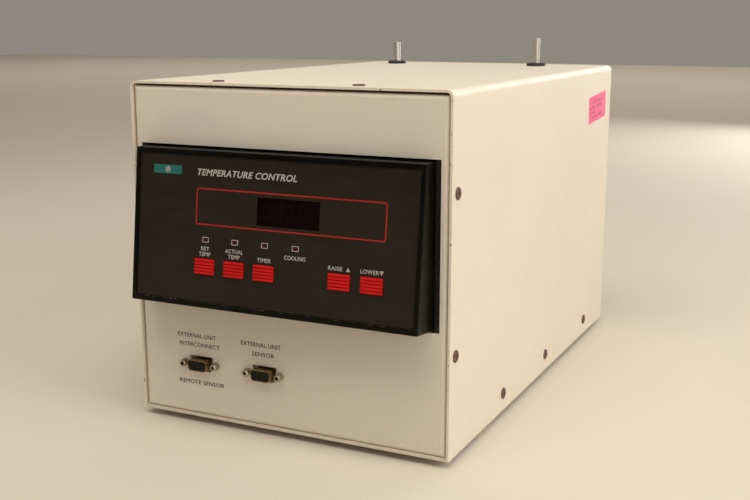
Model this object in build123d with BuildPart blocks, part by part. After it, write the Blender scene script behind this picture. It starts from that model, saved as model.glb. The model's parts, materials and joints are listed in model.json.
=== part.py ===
"""A compact refrigerated bench chiller, built piece by piece as it would come apart on a bench.

Millimetres, +Z up, the front faces -Y. The origin is under the middle of the machine, on the
surface that its rubber feet stand on. Inside this file a place is given as x from the middle,
depth behind the cover's front edge, and height above the underside of the base.
"""

from build123d import *
import os
from math import cos, radians, sin, tan

# ---------------------------------------------------------------- driving dimensions
CASE_W = 235.0            # wrap-around cover, outside
CASE_D = 383.0
CASE_H = 232.4
SHEET = 1.6               # cover sheet with its paint
BEND_R = 4.5              # outside radius of the cover's two long bends
FOOT_H = 5.0              # rubber showing under the base
FRONT_REACH = 23.4        # how far the control bezel stands in front of the cover
REAR_REACH = 2.9          # how far the fan guard stands behind the cover

FRONT_Y = (FRONT_REACH - CASE_D - REAR_REACH) / 2
BASE_Z = FOOT_H

PANEL_SHEET = 1.5         # front panel, rear panel and base tray
PANEL_W = 229.8
PANEL_TOP = 229.2
PANEL_RECESS = 0.4        # front panel behind the cover's front edge
PANEL_EDGE_R = 2.6
LIP_H = 2.2               # turned-down lip of the tray, seen as a strip under the front panel
DECK_H = LIP_H            # top of the tray's floor
FLOOR_UNDER = LIP_H - PANEL_SHEET
FRONT_FLANGE = 20.0
REAR_FLANGE = 15.0
REAR_RECESS = 1.0
FLANGE_SCREW_PITCH = 150.0
FRONT_SCREW_DEPTH = 13.0
REAR_SCREW_DEPTH = CASE_D - 11.0

FOOT_R = 9.0
FOOT_PITCH_X, FOOT_PITCH_Y = 184.0, 326.0
FOOT_COUNTERBORE_R = 3.8
FOOT_COUNTERBORE = 3.0
FOOT_SCREW_R = 1.75

# control bezel: a wedge whose face leans back by the tilt
BEZEL_W = 211.6
FACE_TILT = radians(7.12)
FACE_TOP_Y = -10.6        # top edge of the face, in front of the cover
FACE_TOP_H = 189.5
FACE_LENGTH = 103.2       # measured down the tilted face
BEZEL_WALL = 2.5
BEZEL_EDGE_R = 0.8
POCKET = 1.8              # how deep the overlay's pocket is
FACE_WALL = 4.0           # front surface of the rim to the inside of the front wall
RIM_SIDE = 3.2
RIM_TOP = 3.3
RIM_BOTTOM = 3.7
OPENING_W = 220.6         # the panel's opening round the bezel
OPENING_BOTTOM = 83.0
OPENING_TOP = 191.0
OVERLAY_T = 1.0
GASKET_T = 1.0
RETAINER_W, RETAINER_L = 225.6, 124.0   # the bezel's flange behind the panel
RETAINER_T = 2.0
RETAINER_MID = (OPENING_TOP + OPENING_BOTTOM) / 2
STUD_PITCH_X, STUD_PITCH_H = 140.0, 116.0
STUD_R = 1.5
STUD_CLEAR = 0.3

# what sits in the face: places are x and distance up the face from its top edge
WINDOW_X, WINDOW_V = 12.6, -36.6
WINDOW_W, WINDOW_L = 45.4, 17.9
LED_PITCH = 22.5
LED_FIRST_X, LED_V = -48.4, -58.1
LED_W, LED_L = 3.4, 2.3
LED_COUNT = 4
KEY_V = -75.9
KEY_W, KEY_L = 14.9, 10.3
KEY_X = {
    "key_set_temp": LED_FIRST_X,
    "key_actual_temp": LED_FIRST_X + LED_PITCH,
    "key_timer": LED_FIRST_X + 2 * LED_PITCH,
    "key_raise": 50.9,
    "key_lower": 73.4,
}
SLIDE_GAP = 0.3           # round each key, LED and window in its opening
PLUNGER_R, PLUNGER_L = 1.6, 2.4
BOARD_BEHIND = 10.5       # front of the display board, behind the rim's surface
BOARD_T = 1.6
BOARD_V = -52.0
BOARD_HOLES_X, BOARD_HOLES_V = 184.0, 80.0

# two nine-way sensor sockets low on the front
SOCKET_X = {"left": -67.2, "right": -16.4}
SOCKET_H = 39.1
JACK_SPACING = 24.99
SHELL_W, SHELL_L = 16.33, 7.9
FLANGE_W, FLANGE_L, FLANGE_T = 30.8, 12.5, 0.8
SKIRT_REACH = 7.4         # skirt in front of the panel's inner face
JACK_L = 5.3              # hexagon in front of the panel

# coolant stubs: quarter-inch tube through the top, near the rear
STUB_R = 6.35 / 2
STUB_BORE_R = 2.3
TUBE_BELOW_R = STUB_R - 0.2
GROMMET_TOP = 2.6
SIZED_FROM = GROMMET_TOP + 0.5   # the end sized for a hose starts here, above the cover
STUB_DEPTH = 342.0
STUBS = {"left": (-75.0, 19.7), "right": (60.0, 24.2)}   # x, and height above the cover

# screws that hold the cover
COVER_HEAD_R = 4.1
COVER_HEAD_H = 0.95
COVER_SHANK_R = 2.05
CLEAR_R = 2.3
TAP_R = 2.1
TOP_SCREWS = [(-56.0, 15.0), (48.3, 15.0)]               # x, depth
PANEL_SIDE_SCREWS = [(9.5, 170.0), (9.5, 67.3)]          # depth, height
TRAY_SIDE_SCREWS = [(103.8, 13.0), (205.0, 13.0), (318.8, 13.0)]

# paper sticker high on the right side, put on slightly askew, one corner torn
LABEL_MID = (337.9, 198.4)                               # depth, height
LABEL_W, LABEL_L, LABEL_T = 55.5, 22.4, 0.15
LABEL_TURN = 3.7
LABEL_TORN_R = 3.5

# rear: fan, condenser and mains entry
FAN_X, FAN_H = -45.0, 72.0
FAN_SIZE, FAN_T = 120.0, 25.0
FAN_BORE_R = 57.5
FAN_PITCH = 105.0
MAINS_X = 70.0
INLET_H, SWITCH_H, FUSE_H = 36.0, 74.0, 106.0
ROCKER_TILT = radians(9)

COMPRESSOR_X, COMPRESSOR_DEPTH = 22.0, 215.0
COMPRESSOR_R, COMPRESSOR_TALL = 54.0, 115.0
MOUNT_H = 14.0
MOUNT_PITCH_X, MOUNT_PITCH_Y = 120.0, 90.0
MOUNT_BOLT_R = 3.0
EXCHANGER_X = -7.5
EXCHANGER_BASE = 150.0
EXCHANGER_SIZE = (178.0, 52.0, 56.0)
CORE_W, CORE_D, CORE_TALL = 149.0, 27.0, 26.0


def at(x, depth, height):
    """A point of the model from x, depth behind the front edge and height above the base."""
    return (x, FRONT_Y + depth, BASE_Z + height)


def face_depth(height, behind=0.0):
    """Depth of the bezel's tilted face, or of a surface parallel to it, at a height."""
    return FACE_TOP_Y + (height - FACE_TOP_H) * tan(FACE_TILT) + behind / cos(FACE_TILT)


FRONT = Plane(origin=at(0, 0, 0), x_dir=(1, 0, 0), z_dir=(0, -1, 0))
PANEL = FRONT.offset(-PANEL_RECESS)
PANEL_BACK = PANEL.offset(-PANEL_SHEET)
REAR = Plane(origin=at(0, CASE_D - REAR_RECESS, 0), x_dir=(-1, 0, 0), z_dir=(0, 1, 0))
REAR_INSIDE = REAR.offset(-PANEL_SHEET)
UNDER = Plane(origin=at(0, 0, 0), x_dir=(1, 0, 0), z_dir=(0, 0, 1))
TOP = UNDER.offset(CASE_H)
RIGHT = Plane(origin=at(CASE_W / 2, 0, 0), x_dir=(0, 1, 0), z_dir=(1, 0, 0))
LEFT = Plane(origin=at(-CASE_W / 2, 0, 0), x_dir=(0, 1, 0), z_dir=(-1, 0, 0))
SECTION = Plane(origin=at(0, 0, 0), x_dir=(0, 1, 0), z_dir=(1, 0, 0))
FACE = Plane(
    origin=at(0, FACE_TOP_Y, FACE_TOP_H),
    x_dir=(1, 0, 0),
    z_dir=(0, -cos(FACE_TILT), sin(FACE_TILT)),
)

# ---------------------------------------------------------------- shapes used more than once


def pan_screw(head_r, head_h, shank_r, length):
    """A pan-head screw standing on the XY plane: head up, shank down, with a cross recess."""
    with BuildPart() as screw:
        with BuildSketch():
            Circle(head_r)
        extrude(amount=head_h)
        fillet(screw.faces().sort_by(Axis.Z)[-1].edges(), head_h * 0.7)
        with BuildSketch():
            Circle(shank_r)
        extrude(amount=-length)
        with BuildSketch(Plane.XY.offset(head_h)):
            Rectangle(head_r * 1.05, head_r * 0.24)
            Rectangle(head_r * 0.24, head_r * 1.05)
        extrude(amount=-head_h * 0.55, mode=Mode.SUBTRACT)
    return screw.part


def d_shape(width, length, corner):
    """The D outline of a nine-way connector, its wide side up."""
    slant = length * tan(radians(10))
    with BuildSketch() as shape:
        with BuildLine():
            Polyline(
                (-width / 2, length / 2),
                (width / 2, length / 2),
                (width / 2 - slant, -length / 2),
                (slant - width / 2, -length / 2),
                close=True,
            )
        make_face()
        fillet(shape.vertices(), corner)
    return shape.sketch


SHELL_OUTSIDE = d_shape(SHELL_W, SHELL_L, 2.4)
SHELL_INSIDE = d_shape(SHELL_W - 0.9, SHELL_L - 0.9, 2.0)
INSERT_OUTSIDE = d_shape(SHELL_W - 1.0, SHELL_L - 1.0, 1.9)
SHELL_CUTOUT = d_shape(SHELL_W + 3.2, SHELL_L + 3.0, 1.2)


def pipe(points, radius, bend):
    """A round pipe along straight runs joined by tangent bends; points are x, depth, height."""
    with BuildPart() as run:
        with BuildLine() as path:
            FilletPolyline(*[at(*point) for point in points], radius=bend)
        with BuildSketch(Plane(origin=path.line @ 0, z_dir=path.line % 0)):
            Circle(radius)
        sweep()
    return run


def key_cap(x):
    """One sprung key: a five-rib cap, the skirt that holds it in and the plunger behind."""
    rib_count = 5
    rib_pitch = 2.12
    rib_l = 1.5
    land = -0.55          # the floor between ribs, below the rim's surface
    crown = 0.35          # the ribs' tops, above the rim's surface
    skirt_t = 0.8
    skirt_extra = 2.0
    with BuildPart() as key:
        with BuildSketch(FACE.offset(-FACE_WALL - 0.1)) as body:
            with Locations((x, KEY_V)):
                Rectangle(KEY_W, KEY_L)
            fillet(body.vertices(), 0.5)
        extrude(amount=FACE_WALL + 0.1 + land)
        with BuildSketch(FACE.offset(land)) as ribs:
            with Locations((x, KEY_V)):
                with GridLocations(0, rib_pitch, 1, rib_count):
                    Rectangle(KEY_W, rib_l)
            fillet(ribs.vertices(), 0.4)
        extrude(amount=crown - land)
        fillet(key.faces().sort_by(Axis(FACE.origin, FACE.z_dir))[-rib_count:].edges(), 0.3)
        with BuildSketch(FACE.offset(-FACE_WALL - 0.1)):
            with Locations((x, KEY_V)):
                Rectangle(KEY_W + skirt_extra, KEY_L + skirt_extra)
        extrude(amount=-skirt_t)
        with BuildSketch(FACE.offset(-FACE_WALL - 0.1 - skirt_t)):
            with Locations((x, KEY_V)):
                Circle(PLUNGER_R)
        extrude(amount=-PLUNGER_L)
    return key


def socket_shell(x):
    """The plated shell of one socket: a flange behind the panel and a D-shaped skirt."""
    with BuildPart() as shell:
        with BuildSketch(PANEL_BACK) as flange:
            with Locations((x, SOCKET_H)):
                Rectangle(FLANGE_W, FLANGE_L)
            fillet(flange.vertices(), 1.5)
            with Locations((x, SOCKET_H)):
                with GridLocations(JACK_SPACING, 0, 2, 1):
                    Circle(1.55, mode=Mode.SUBTRACT)
        extrude(amount=-FLANGE_T)
        with BuildSketch(PANEL_BACK):
            with Locations((x, SOCKET_H)):
                add(SHELL_OUTSIDE)
        extrude(amount=SKIRT_REACH)
        with BuildSketch(PANEL_BACK.offset(SKIRT_REACH)):
            with Locations((x, SOCKET_H)):
                add(SHELL_INSIDE)
        extrude(amount=-SKIRT_REACH - FLANGE_T, mode=Mode.SUBTRACT)
    return shell


def socket_insert(x):
    """The black insulator of one socket, with five holes over four, and its rear block."""
    contact_pitch = 2.77
    row_pitch = 2.84
    contact_r, contact_l = 0.62, 4.5
    sunk = 0.35           # the insulator's face, behind the shell's lip
    block_w, block_l, block_t = 19.0, 10.4, 7.5
    with BuildPart() as insert:
        with BuildSketch(PANEL_BACK.offset(SKIRT_REACH - sunk)):
            with Locations((x, SOCKET_H)):
                add(INSERT_OUTSIDE)
        extrude(amount=sunk - SKIRT_REACH - FLANGE_T)
        with BuildSketch(PANEL_BACK.offset(-FLANGE_T)) as block:
            with Locations((x, SOCKET_H)):
                Rectangle(block_w, block_l)
            fillet(block.vertices(), 1.2)
        extrude(amount=-block_t)
        with BuildSketch(PANEL_BACK.offset(SKIRT_REACH - sunk)):
            for count, side in ((5, 1), (4, -1)):
                with Locations((x, SOCKET_H + side * row_pitch / 2)):
                    with GridLocations(contact_pitch, 0, count, 1):
                        Circle(contact_r)
        extrude(amount=-contact_l, mode=Mode.SUBTRACT)
    return insert


def coolant_tube(x, stand):
    """One stainless stub: a sized end above the grommet, and the tube below it to the header."""
    bottom = EXCHANGER_BASE + (EXCHANGER_SIZE[2] + CORE_TALL - 1.0) / 2
    with BuildPart() as tube:
        with BuildSketch(UNDER.offset(CASE_H + SIZED_FROM)):
            with Locations((x, STUB_DEPTH)):
                Circle(STUB_R)
        extrude(amount=stand - SIZED_FROM)
        with BuildSketch(UNDER.offset(bottom)):
            with Locations((x, STUB_DEPTH)):
                Circle(TUBE_BELOW_R)
        extrude(amount=CASE_H + SIZED_FROM - bottom)
        with BuildSketch(UNDER.offset(bottom)):
            with Locations((x, STUB_DEPTH)):
                Circle(STUB_BORE_R)
        extrude(amount=CASE_H + stand - bottom, mode=Mode.SUBTRACT)
        rim = tube.faces().sort_by(Axis.Z)[-1].edges().sort_by(SortBy.RADIUS)[-1]
        fillet(rim, 0.35)
    return tube


# ---------------------------------------------------------------- case

with BuildPart() as wrap_cover:
    with BuildSketch(FRONT) as outside:
        with Locations((0, CASE_H / 2)):
            Rectangle(CASE_W, CASE_H)
        fillet(outside.vertices().group_by(Axis.Y)[-1], BEND_R)
    extrude(amount=-CASE_D)
    with BuildSketch(FRONT) as inside:
        with Locations((0, (CASE_H - SHEET) / 2)):
            Rectangle(CASE_W - 2 * SHEET, CASE_H - SHEET)
        fillet(inside.vertices().group_by(Axis.Y)[-1], BEND_R - SHEET)
    extrude(amount=-CASE_D, mode=Mode.SUBTRACT)
    with BuildSketch(TOP):
        with Locations(*TOP_SCREWS):
            Circle(CLEAR_R)
        with Locations(*[(x, STUB_DEPTH) for x, stand in STUBS.values()]):
            Circle(5.6)
    extrude(amount=-2 * SHEET, mode=Mode.SUBTRACT)
    with BuildSketch(RIGHT):
        with Locations(*PANEL_SIDE_SCREWS, *TRAY_SIDE_SCREWS):
            Circle(CLEAR_R)
    extrude(amount=-CASE_W, mode=Mode.SUBTRACT)
wrap_cover.part.label = "wrap_cover"

with BuildPart() as base_chassis:
    tray_w = CASE_W - 2 * SHEET - 0.6
    tray_d = CASE_D - 2 * PANEL_RECESS
    tray_mid = CASE_D / 2
    wall_h = 25.6
    wall_d = CASE_D - 2 * 22.0
    with BuildSketch(UNDER):
        with Locations((0, tray_mid)):
            Rectangle(tray_w, tray_d)
    extrude(amount=LIP_H)
    with BuildSketch(UNDER):
        with Locations((0, tray_mid)):
            Rectangle(tray_w, tray_d - 2 * PANEL_SHEET)
    extrude(amount=FLOOR_UNDER, mode=Mode.SUBTRACT)
    with BuildSketch(UNDER.offset(FLOOR_UNDER)):
        for side in (-1, 1):
            with Locations((side * (tray_w - PANEL_SHEET) / 2, tray_mid)):
                Rectangle(PANEL_SHEET, wall_d)
    extrude(amount=wall_h - FLOOR_UNDER)
    with BuildSketch(UNDER):
        with Locations((0, 40), (0, 288)):
            with GridLocations(10, 0, 9, 1):
                SlotOverall(24, 5, rotation=90)
        with Locations((0, tray_mid)):
            with GridLocations(FOOT_PITCH_X, FOOT_PITCH_Y, 2, 2):
                Circle(FOOT_SCREW_R + 0.15)
        with Locations((COMPRESSOR_X, COMPRESSOR_DEPTH)):
            with GridLocations(MOUNT_PITCH_X, MOUNT_PITCH_Y, 2, 2):
                Circle(MOUNT_BOLT_R + 0.1)
        with Locations((0, FRONT_SCREW_DEPTH), (0, REAR_SCREW_DEPTH)):
            with GridLocations(FLANGE_SCREW_PITCH, 0, 2, 1):
                Circle(TAP_R)
    extrude(amount=LIP_H, mode=Mode.SUBTRACT)
    with BuildSketch(RIGHT):
        with Locations(*TRAY_SIDE_SCREWS):
            Circle(TAP_R)
    extrude(amount=-CASE_W, mode=Mode.SUBTRACT)
base_chassis.part.label = "base_chassis"

with BuildPart() as front_panel:
    panel_h = PANEL_TOP - LIP_H
    panel_mid = (PANEL_TOP + LIP_H) / 2
    with BuildSketch(PANEL):
        with Locations((0, panel_mid)):
            Rectangle(PANEL_W, panel_h)
    extrude(amount=-FRONT_FLANGE)
    fillet(front_panel.faces().sort_by(Axis.Y)[0].edges(), PANEL_EDGE_R)
    with BuildSketch(PANEL_BACK) as hollow:
        with Locations((0, panel_mid)):
            Rectangle(PANEL_W - 2 * PANEL_SHEET, panel_h - 2 * PANEL_SHEET)
        fillet(hollow.vertices(), 1.0)
    extrude(amount=-FRONT_FLANGE, mode=Mode.SUBTRACT)
    with BuildSketch(PANEL):
        with Locations((0, (OPENING_TOP + OPENING_BOTTOM) / 2)):
            Rectangle(OPENING_W, OPENING_TOP - OPENING_BOTTOM)
        for x in SOCKET_X.values():
            with Locations((x, SOCKET_H)):
                add(SHELL_CUTOUT)
                with GridLocations(JACK_SPACING, 0, 2, 1):
                    Circle(1.6)
    extrude(amount=-PANEL_SHEET, mode=Mode.SUBTRACT)
    with BuildSketch(TOP):
        with Locations(*TOP_SCREWS):
            Circle(TAP_R)
    extrude(amount=-8, mode=Mode.SUBTRACT)
    with BuildSketch(RIGHT):
        with Locations(*PANEL_SIDE_SCREWS):
            Circle(TAP_R)
    extrude(amount=-CASE_W, mode=Mode.SUBTRACT)
    with BuildSketch(UNDER.offset(LIP_H)):
        with Locations((0, FRONT_SCREW_DEPTH)):
            with GridLocations(FLANGE_SCREW_PITCH, 0, 2, 1):
                Circle(TAP_R)
    extrude(amount=PANEL_SHEET, mode=Mode.SUBTRACT)
front_panel.part.label = "front_panel"

with BuildPart() as rear_panel:
    vent_h, vent_columns, vent_rows = 182.0, 2, 7
    vent_pitch_x, vent_pitch_h = 70.0, 9.0
    vent_w, vent_l = 56.0, 4.0
    with BuildSketch(REAR):
        with Locations((0, panel_mid)):
            Rectangle(PANEL_W, panel_h)
    extrude(amount=-REAR_FLANGE)
    fillet(rear_panel.faces().sort_by(Axis.Y)[-1].edges(), 1.8)
    with BuildSketch(REAR_INSIDE):
        with Locations((0, panel_mid)):
            Rectangle(PANEL_W - 2 * PANEL_SHEET, panel_h - 2 * PANEL_SHEET)
    extrude(amount=-REAR_FLANGE, mode=Mode.SUBTRACT)
    with BuildSketch(REAR):
        with Locations((-FAN_X, FAN_H)):
            Circle(FAN_BORE_R - 1)
            with GridLocations(FAN_PITCH, FAN_PITCH, 2, 2):
                Circle(TAP_R)
        with Locations((-MAINS_X, INLET_H)):
            Rectangle(27.4, 20.0)
        with Locations((-MAINS_X, SWITCH_H)):
            Rectangle(13.3, 19.6)
        with Locations((-MAINS_X, FUSE_H)):
            Circle(6.2)
        with Locations((0, vent_h)):
            with GridLocations(vent_pitch_x, vent_pitch_h, vent_columns, vent_rows):
                SlotOverall(vent_w, vent_l)
    extrude(amount=-PANEL_SHEET, mode=Mode.SUBTRACT)
    with BuildSketch(UNDER.offset(LIP_H)):
        with Locations((0, REAR_SCREW_DEPTH)):
            with GridLocations(FLANGE_SCREW_PITCH, 0, 2, 1):
                Circle(TAP_R)
    extrude(amount=PANEL_SHEET, mode=Mode.SUBTRACT)
rear_panel.part.label = "rear_panel"

FEET = UNDER.offset(-FOOT_H).shift_origin(at(0, CASE_D / 2, -FOOT_H))
foot_places = GridLocations(FOOT_PITCH_X, FOOT_PITCH_Y, 2, 2)

with BuildPart() as feet:
    foot_tall = FOOT_H + FLOOR_UNDER
    with BuildSketch(FEET):
        with foot_places:
            Circle(FOOT_R)
    extrude(amount=foot_tall, taper=4)
    fillet(feet.faces().group_by(Axis.Z)[0].edges(), 1.0)
    with BuildSketch(FEET):
        with foot_places:
            Circle(FOOT_COUNTERBORE_R)
    extrude(amount=FOOT_COUNTERBORE, mode=Mode.SUBTRACT)
    with BuildSketch(FEET):
        with foot_places:
            Circle(FOOT_SCREW_R + 0.15)
    extrude(amount=foot_tall, mode=Mode.SUBTRACT)
feet.part.label = "feet"

cover_screw = pan_screw(COVER_HEAD_R, COVER_HEAD_H, COVER_SHANK_R, 6.5)

with BuildPart() as foot_screws:
    with BuildSketch(FEET.offset(FOOT_COUNTERBORE)):
        with foot_places:
            Circle(FOOT_SCREW_R + 1.55)
    extrude(amount=-1.8)
    with BuildSketch(FEET.offset(FOOT_COUNTERBORE)):
        with foot_places:
            Circle(FOOT_SCREW_R)
    extrude(amount=7.5)
foot_screws.part.label = "foot_screws"

with BuildPart() as cover_screws:
    for seat, places in (
        (TOP, TOP_SCREWS),
        (RIGHT, PANEL_SIDE_SCREWS + TRAY_SIDE_SCREWS),
        (LEFT, [(depth, -height) for depth, height in PANEL_SIDE_SCREWS + TRAY_SIDE_SCREWS]),
    ):
        with Locations(*[seat * Location((u, v, 0)) for u, v in places]):
            add(cover_screw)
cover_screws.part.label = "cover_screws"

with BuildPart() as panel_screws:
    below = Plane(origin=at(0, 0, FLOOR_UNDER), x_dir=(1, 0, 0), z_dir=(0, 0, -1))
    for depth in (FRONT_SCREW_DEPTH, REAR_SCREW_DEPTH):
        with Locations(below * Location((0, -depth, 0))):
            with GridLocations(FLANGE_SCREW_PITCH, 0, 2, 1):
                add(pan_screw(3.6, 1.6, COVER_SHANK_R, 5.5))
panel_screws.part.label = "panel_screws"

with BuildPart() as inspection_label:
    with BuildSketch(RIGHT) as outline:
        with Locations(Location(LABEL_MID, LABEL_TURN)):
            Rectangle(LABEL_W, LABEL_L)
        far_corners = outline.vertices().sort_by(Axis.X)[-2:]
        fillet(far_corners.sort_by(Axis.Y)[0], LABEL_TORN_R)
    extrude(amount=LABEL_T)
inspection_label.part.label = "inspection_label"

# ---------------------------------------------------------------- control bezel

with BuildPart() as bezel_housing:
    flange_y = PANEL_RECESS + PANEL_SHEET + GASKET_T
    flange_back = flange_y + RETAINER_T
    bottom_front_h = FACE_TOP_H - FACE_LENGTH * cos(FACE_TILT)
    bottom_back_h = bottom_front_h - (flange_y - face_depth(bottom_front_h)) * tan(FACE_TILT)
    with BuildSketch(SECTION):
        with BuildLine():
            Polyline(
                (face_depth(FACE_TOP_H), FACE_TOP_H),
                (face_depth(bottom_front_h), bottom_front_h),
                (flange_y, bottom_back_h),
                (flange_y, FACE_TOP_H),
                close=True,
            )
        make_face()
    extrude(amount=BEZEL_W / 2, both=True)
    side_edges = bezel_housing.edges().filter_by(lambda edge: abs(edge.center().X) > BEZEL_W / 2 - 0.1)
    fillet(side_edges.filter_by(lambda edge: abs(edge.tangent_at(0.5).Y) > 0.7), BEZEL_EDGE_R)
    fillet(bezel_housing.faces().sort_by(Axis(FACE.origin, FACE.z_dir))[-1].edges(), 0.6)
    with BuildSketch(PANEL_BACK.offset(-GASKET_T)):
        with Locations((0, RETAINER_MID)):
            Rectangle(RETAINER_W, RETAINER_L)
    extrude(amount=-RETAINER_T)
    with BuildSketch(SECTION):
        inner_top = FACE_TOP_H - BEZEL_WALL
        inner_bottom = bottom_front_h + BEZEL_WALL
        with BuildLine():
            Polyline(
                (face_depth(inner_top, FACE_WALL), inner_top),
                (face_depth(inner_bottom, FACE_WALL), inner_bottom),
                (flange_back, inner_bottom),
                (flange_back, inner_top),
                close=True,
            )
        make_face()
    extrude(amount=BEZEL_W / 2 - BEZEL_WALL, both=True, mode=Mode.SUBTRACT)
    with BuildSketch(FACE) as pocket:
        with Locations((0, -(FACE_LENGTH + RIM_TOP - RIM_BOTTOM) / 2)):
            Rectangle(BEZEL_W - 2 * RIM_SIDE, FACE_LENGTH - RIM_TOP - RIM_BOTTOM)
        fillet(pocket.vertices(), 0.8)
    extrude(amount=-POCKET, mode=Mode.SUBTRACT)
    with BuildSketch(FACE):
        with Locations((WINDOW_X, WINDOW_V)):
            Rectangle(WINDOW_W + 2 * SLIDE_GAP, WINDOW_L + 2 * SLIDE_GAP)
        for place in range(LED_COUNT):
            with Locations((LED_FIRST_X + place * LED_PITCH, LED_V)):
                Rectangle(LED_W + 2 * SLIDE_GAP, LED_L + 2 * SLIDE_GAP)
        for x in KEY_X.values():
            with Locations((x, KEY_V)):
                Rectangle(KEY_W + 2 * SLIDE_GAP, KEY_L + 2 * SLIDE_GAP)
    extrude(amount=-FACE_WALL - 1.0, mode=Mode.SUBTRACT)
    boss_r, boss_hole_r, boss_hole_l = 3.0, 1.25, 5.5
    with BuildSketch(FACE.offset(-FACE_WALL)):
        with Locations((0, BOARD_V)):
            with GridLocations(BOARD_HOLES_X, BOARD_HOLES_V, 2, 2):
                Circle(boss_r)
    extrude(amount=FACE_WALL - BOARD_BEHIND)
    with BuildSketch(FACE.offset(-BOARD_BEHIND)):
        with Locations((0, BOARD_V)):
            with GridLocations(BOARD_HOLES_X, BOARD_HOLES_V, 2, 2):
                Circle(boss_hole_r)
    extrude(amount=boss_hole_l, mode=Mode.SUBTRACT)
    with BuildSketch(PANEL_BACK):
        with Locations((0, RETAINER_MID)):
            with GridLocations(STUD_PITCH_X, STUD_PITCH_H, 2, 2):
                Circle(STUD_R + STUD_CLEAR)
    extrude(amount=-GASKET_T - RETAINER_T, mode=Mode.SUBTRACT)
bezel_housing.part.label = "bezel_housing"

with BuildPart() as bezel_gasket:
    with BuildSketch(PANEL_BACK):
        with Locations((0, RETAINER_MID)):
            Rectangle(RETAINER_W, RETAINER_L)
            Rectangle(BEZEL_W + 1.0, FACE_LENGTH + 4.1, mode=Mode.SUBTRACT)
            with GridLocations(STUD_PITCH_X, STUD_PITCH_H, 2, 2):
                Circle(STUD_R + STUD_CLEAR, mode=Mode.SUBTRACT)
    extrude(amount=-GASKET_T)
bezel_gasket.part.label = "bezel_gasket"

with BuildPart() as bezel_nuts:
    nut_r, nut_t, stud_l = 3.2, 2.4, 7.0
    with BuildSketch(PANEL_BACK.offset(-GASKET_T - RETAINER_T)):
        with Locations((0, RETAINER_MID)):
            with GridLocations(STUD_PITCH_X, STUD_PITCH_H, 2, 2):
                RegularPolygon(nut_r, 6)
    extrude(amount=-nut_t)
    with BuildSketch(PANEL_BACK):
        with Locations((0, RETAINER_MID)):
            with GridLocations(STUD_PITCH_X, STUD_PITCH_H, 2, 2):
                Circle(STUD_R)
    extrude(amount=-stud_l)
bezel_nuts.part.label = "bezel_nuts"

with BuildPart() as overlay_panel:
    play = 0.3            # how much smaller the sheet is than its pocket
    window_gap = 0.1
    led_gap = 0.2
    with BuildSketch(FACE.offset(-POCKET)) as sheet:
        with Locations((0, -(FACE_LENGTH + RIM_TOP - RIM_BOTTOM) / 2)):
            Rectangle(BEZEL_W - 2 * RIM_SIDE - play, FACE_LENGTH - RIM_TOP - RIM_BOTTOM - play)
        fillet(sheet.vertices(), 0.7)
    extrude(amount=OVERLAY_T)
    with BuildSketch(FACE.offset(-POCKET)):
        with Locations((WINDOW_X, WINDOW_V)):
            Rectangle(WINDOW_W + window_gap, WINDOW_L + window_gap)
        for place in range(LED_COUNT):
            with Locations((LED_FIRST_X + place * LED_PITCH, LED_V)):
                Rectangle(LED_W + led_gap, LED_L + led_gap)
        for x in KEY_X.values():
            with Locations((x, KEY_V)):
                Rectangle(KEY_W + 2 * SLIDE_GAP, KEY_L + 2 * SLIDE_GAP)
    extrude(amount=OVERLAY_T, mode=Mode.SUBTRACT)
overlay_panel.part.label = "overlay_panel"

with BuildPart() as display_window:
    window_t = 2.0
    window_sunk = 0.1
    with BuildSketch(FACE.offset(OVERLAY_T - POCKET - window_sunk)):
        with Locations((WINDOW_X, WINDOW_V)):
            Rectangle(WINDOW_W, WINDOW_L)
    extrude(amount=-window_t)
display_window.part.label = "display_window"

with BuildPart() as display_module:
    module_w, module_l, module_t = 42.0, 19.0, 6.0
    with BuildSketch(FACE.offset(-BOARD_BEHIND)):
        with Locations((WINDOW_X, WINDOW_V)):
            Rectangle(module_w, module_l)
    extrude(amount=module_t)
    chamfer(display_module.faces().sort_by(Axis(FACE.origin, FACE.z_dir))[-1].edges(), 0.4)
display_module.part.label = "display_module"

with BuildPart() as indicator_leds:
    lens_sunk = 0.05
    with BuildSketch(FACE.offset(-BOARD_BEHIND)):
        for place in range(LED_COUNT):
            with Locations((LED_FIRST_X + place * LED_PITCH, LED_V)):
                Rectangle(LED_W, LED_L)
    extrude(amount=BOARD_BEHIND + OVERLAY_T - POCKET - lens_sunk)
indicator_leds.part.label = "indicator_leds"

with BuildPart() as display_board:
    margin = 10.0         # board left round its four screws, both sides together
    chip_w, chip_l, chip_t = 20.0, 7.6, 4.0
    with BuildSketch(FACE.offset(-BOARD_BEHIND)):
        with Locations((0, BOARD_V)):
            Rectangle(BOARD_HOLES_X + margin, BOARD_HOLES_V + margin)
            with GridLocations(BOARD_HOLES_X, BOARD_HOLES_V, 2, 2):
                Circle(1.4, mode=Mode.SUBTRACT)
    extrude(amount=-BOARD_T)
    with BuildSketch(FACE.offset(-BOARD_BEHIND - BOARD_T)):
        with Locations((-40, -40), (10, -70), (-60, -75)):
            Rectangle(chip_w, chip_l)
    extrude(amount=-chip_t)
display_board.part.label = "display_board"

with BuildPart() as display_board_screws:
    behind = Plane(
        origin=FACE.offset(-BOARD_BEHIND - BOARD_T).origin,
        x_dir=(1, 0, 0),
        z_dir=-FACE.z_dir,
    )
    with Locations(behind * Location((0, -BOARD_V, 0))):
        with GridLocations(BOARD_HOLES_X, BOARD_HOLES_V, 2, 2):
            add(pan_screw(2.6, 1.4, 1.2, 5.0))
display_board_screws.part.label = "display_board_screws"

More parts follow.
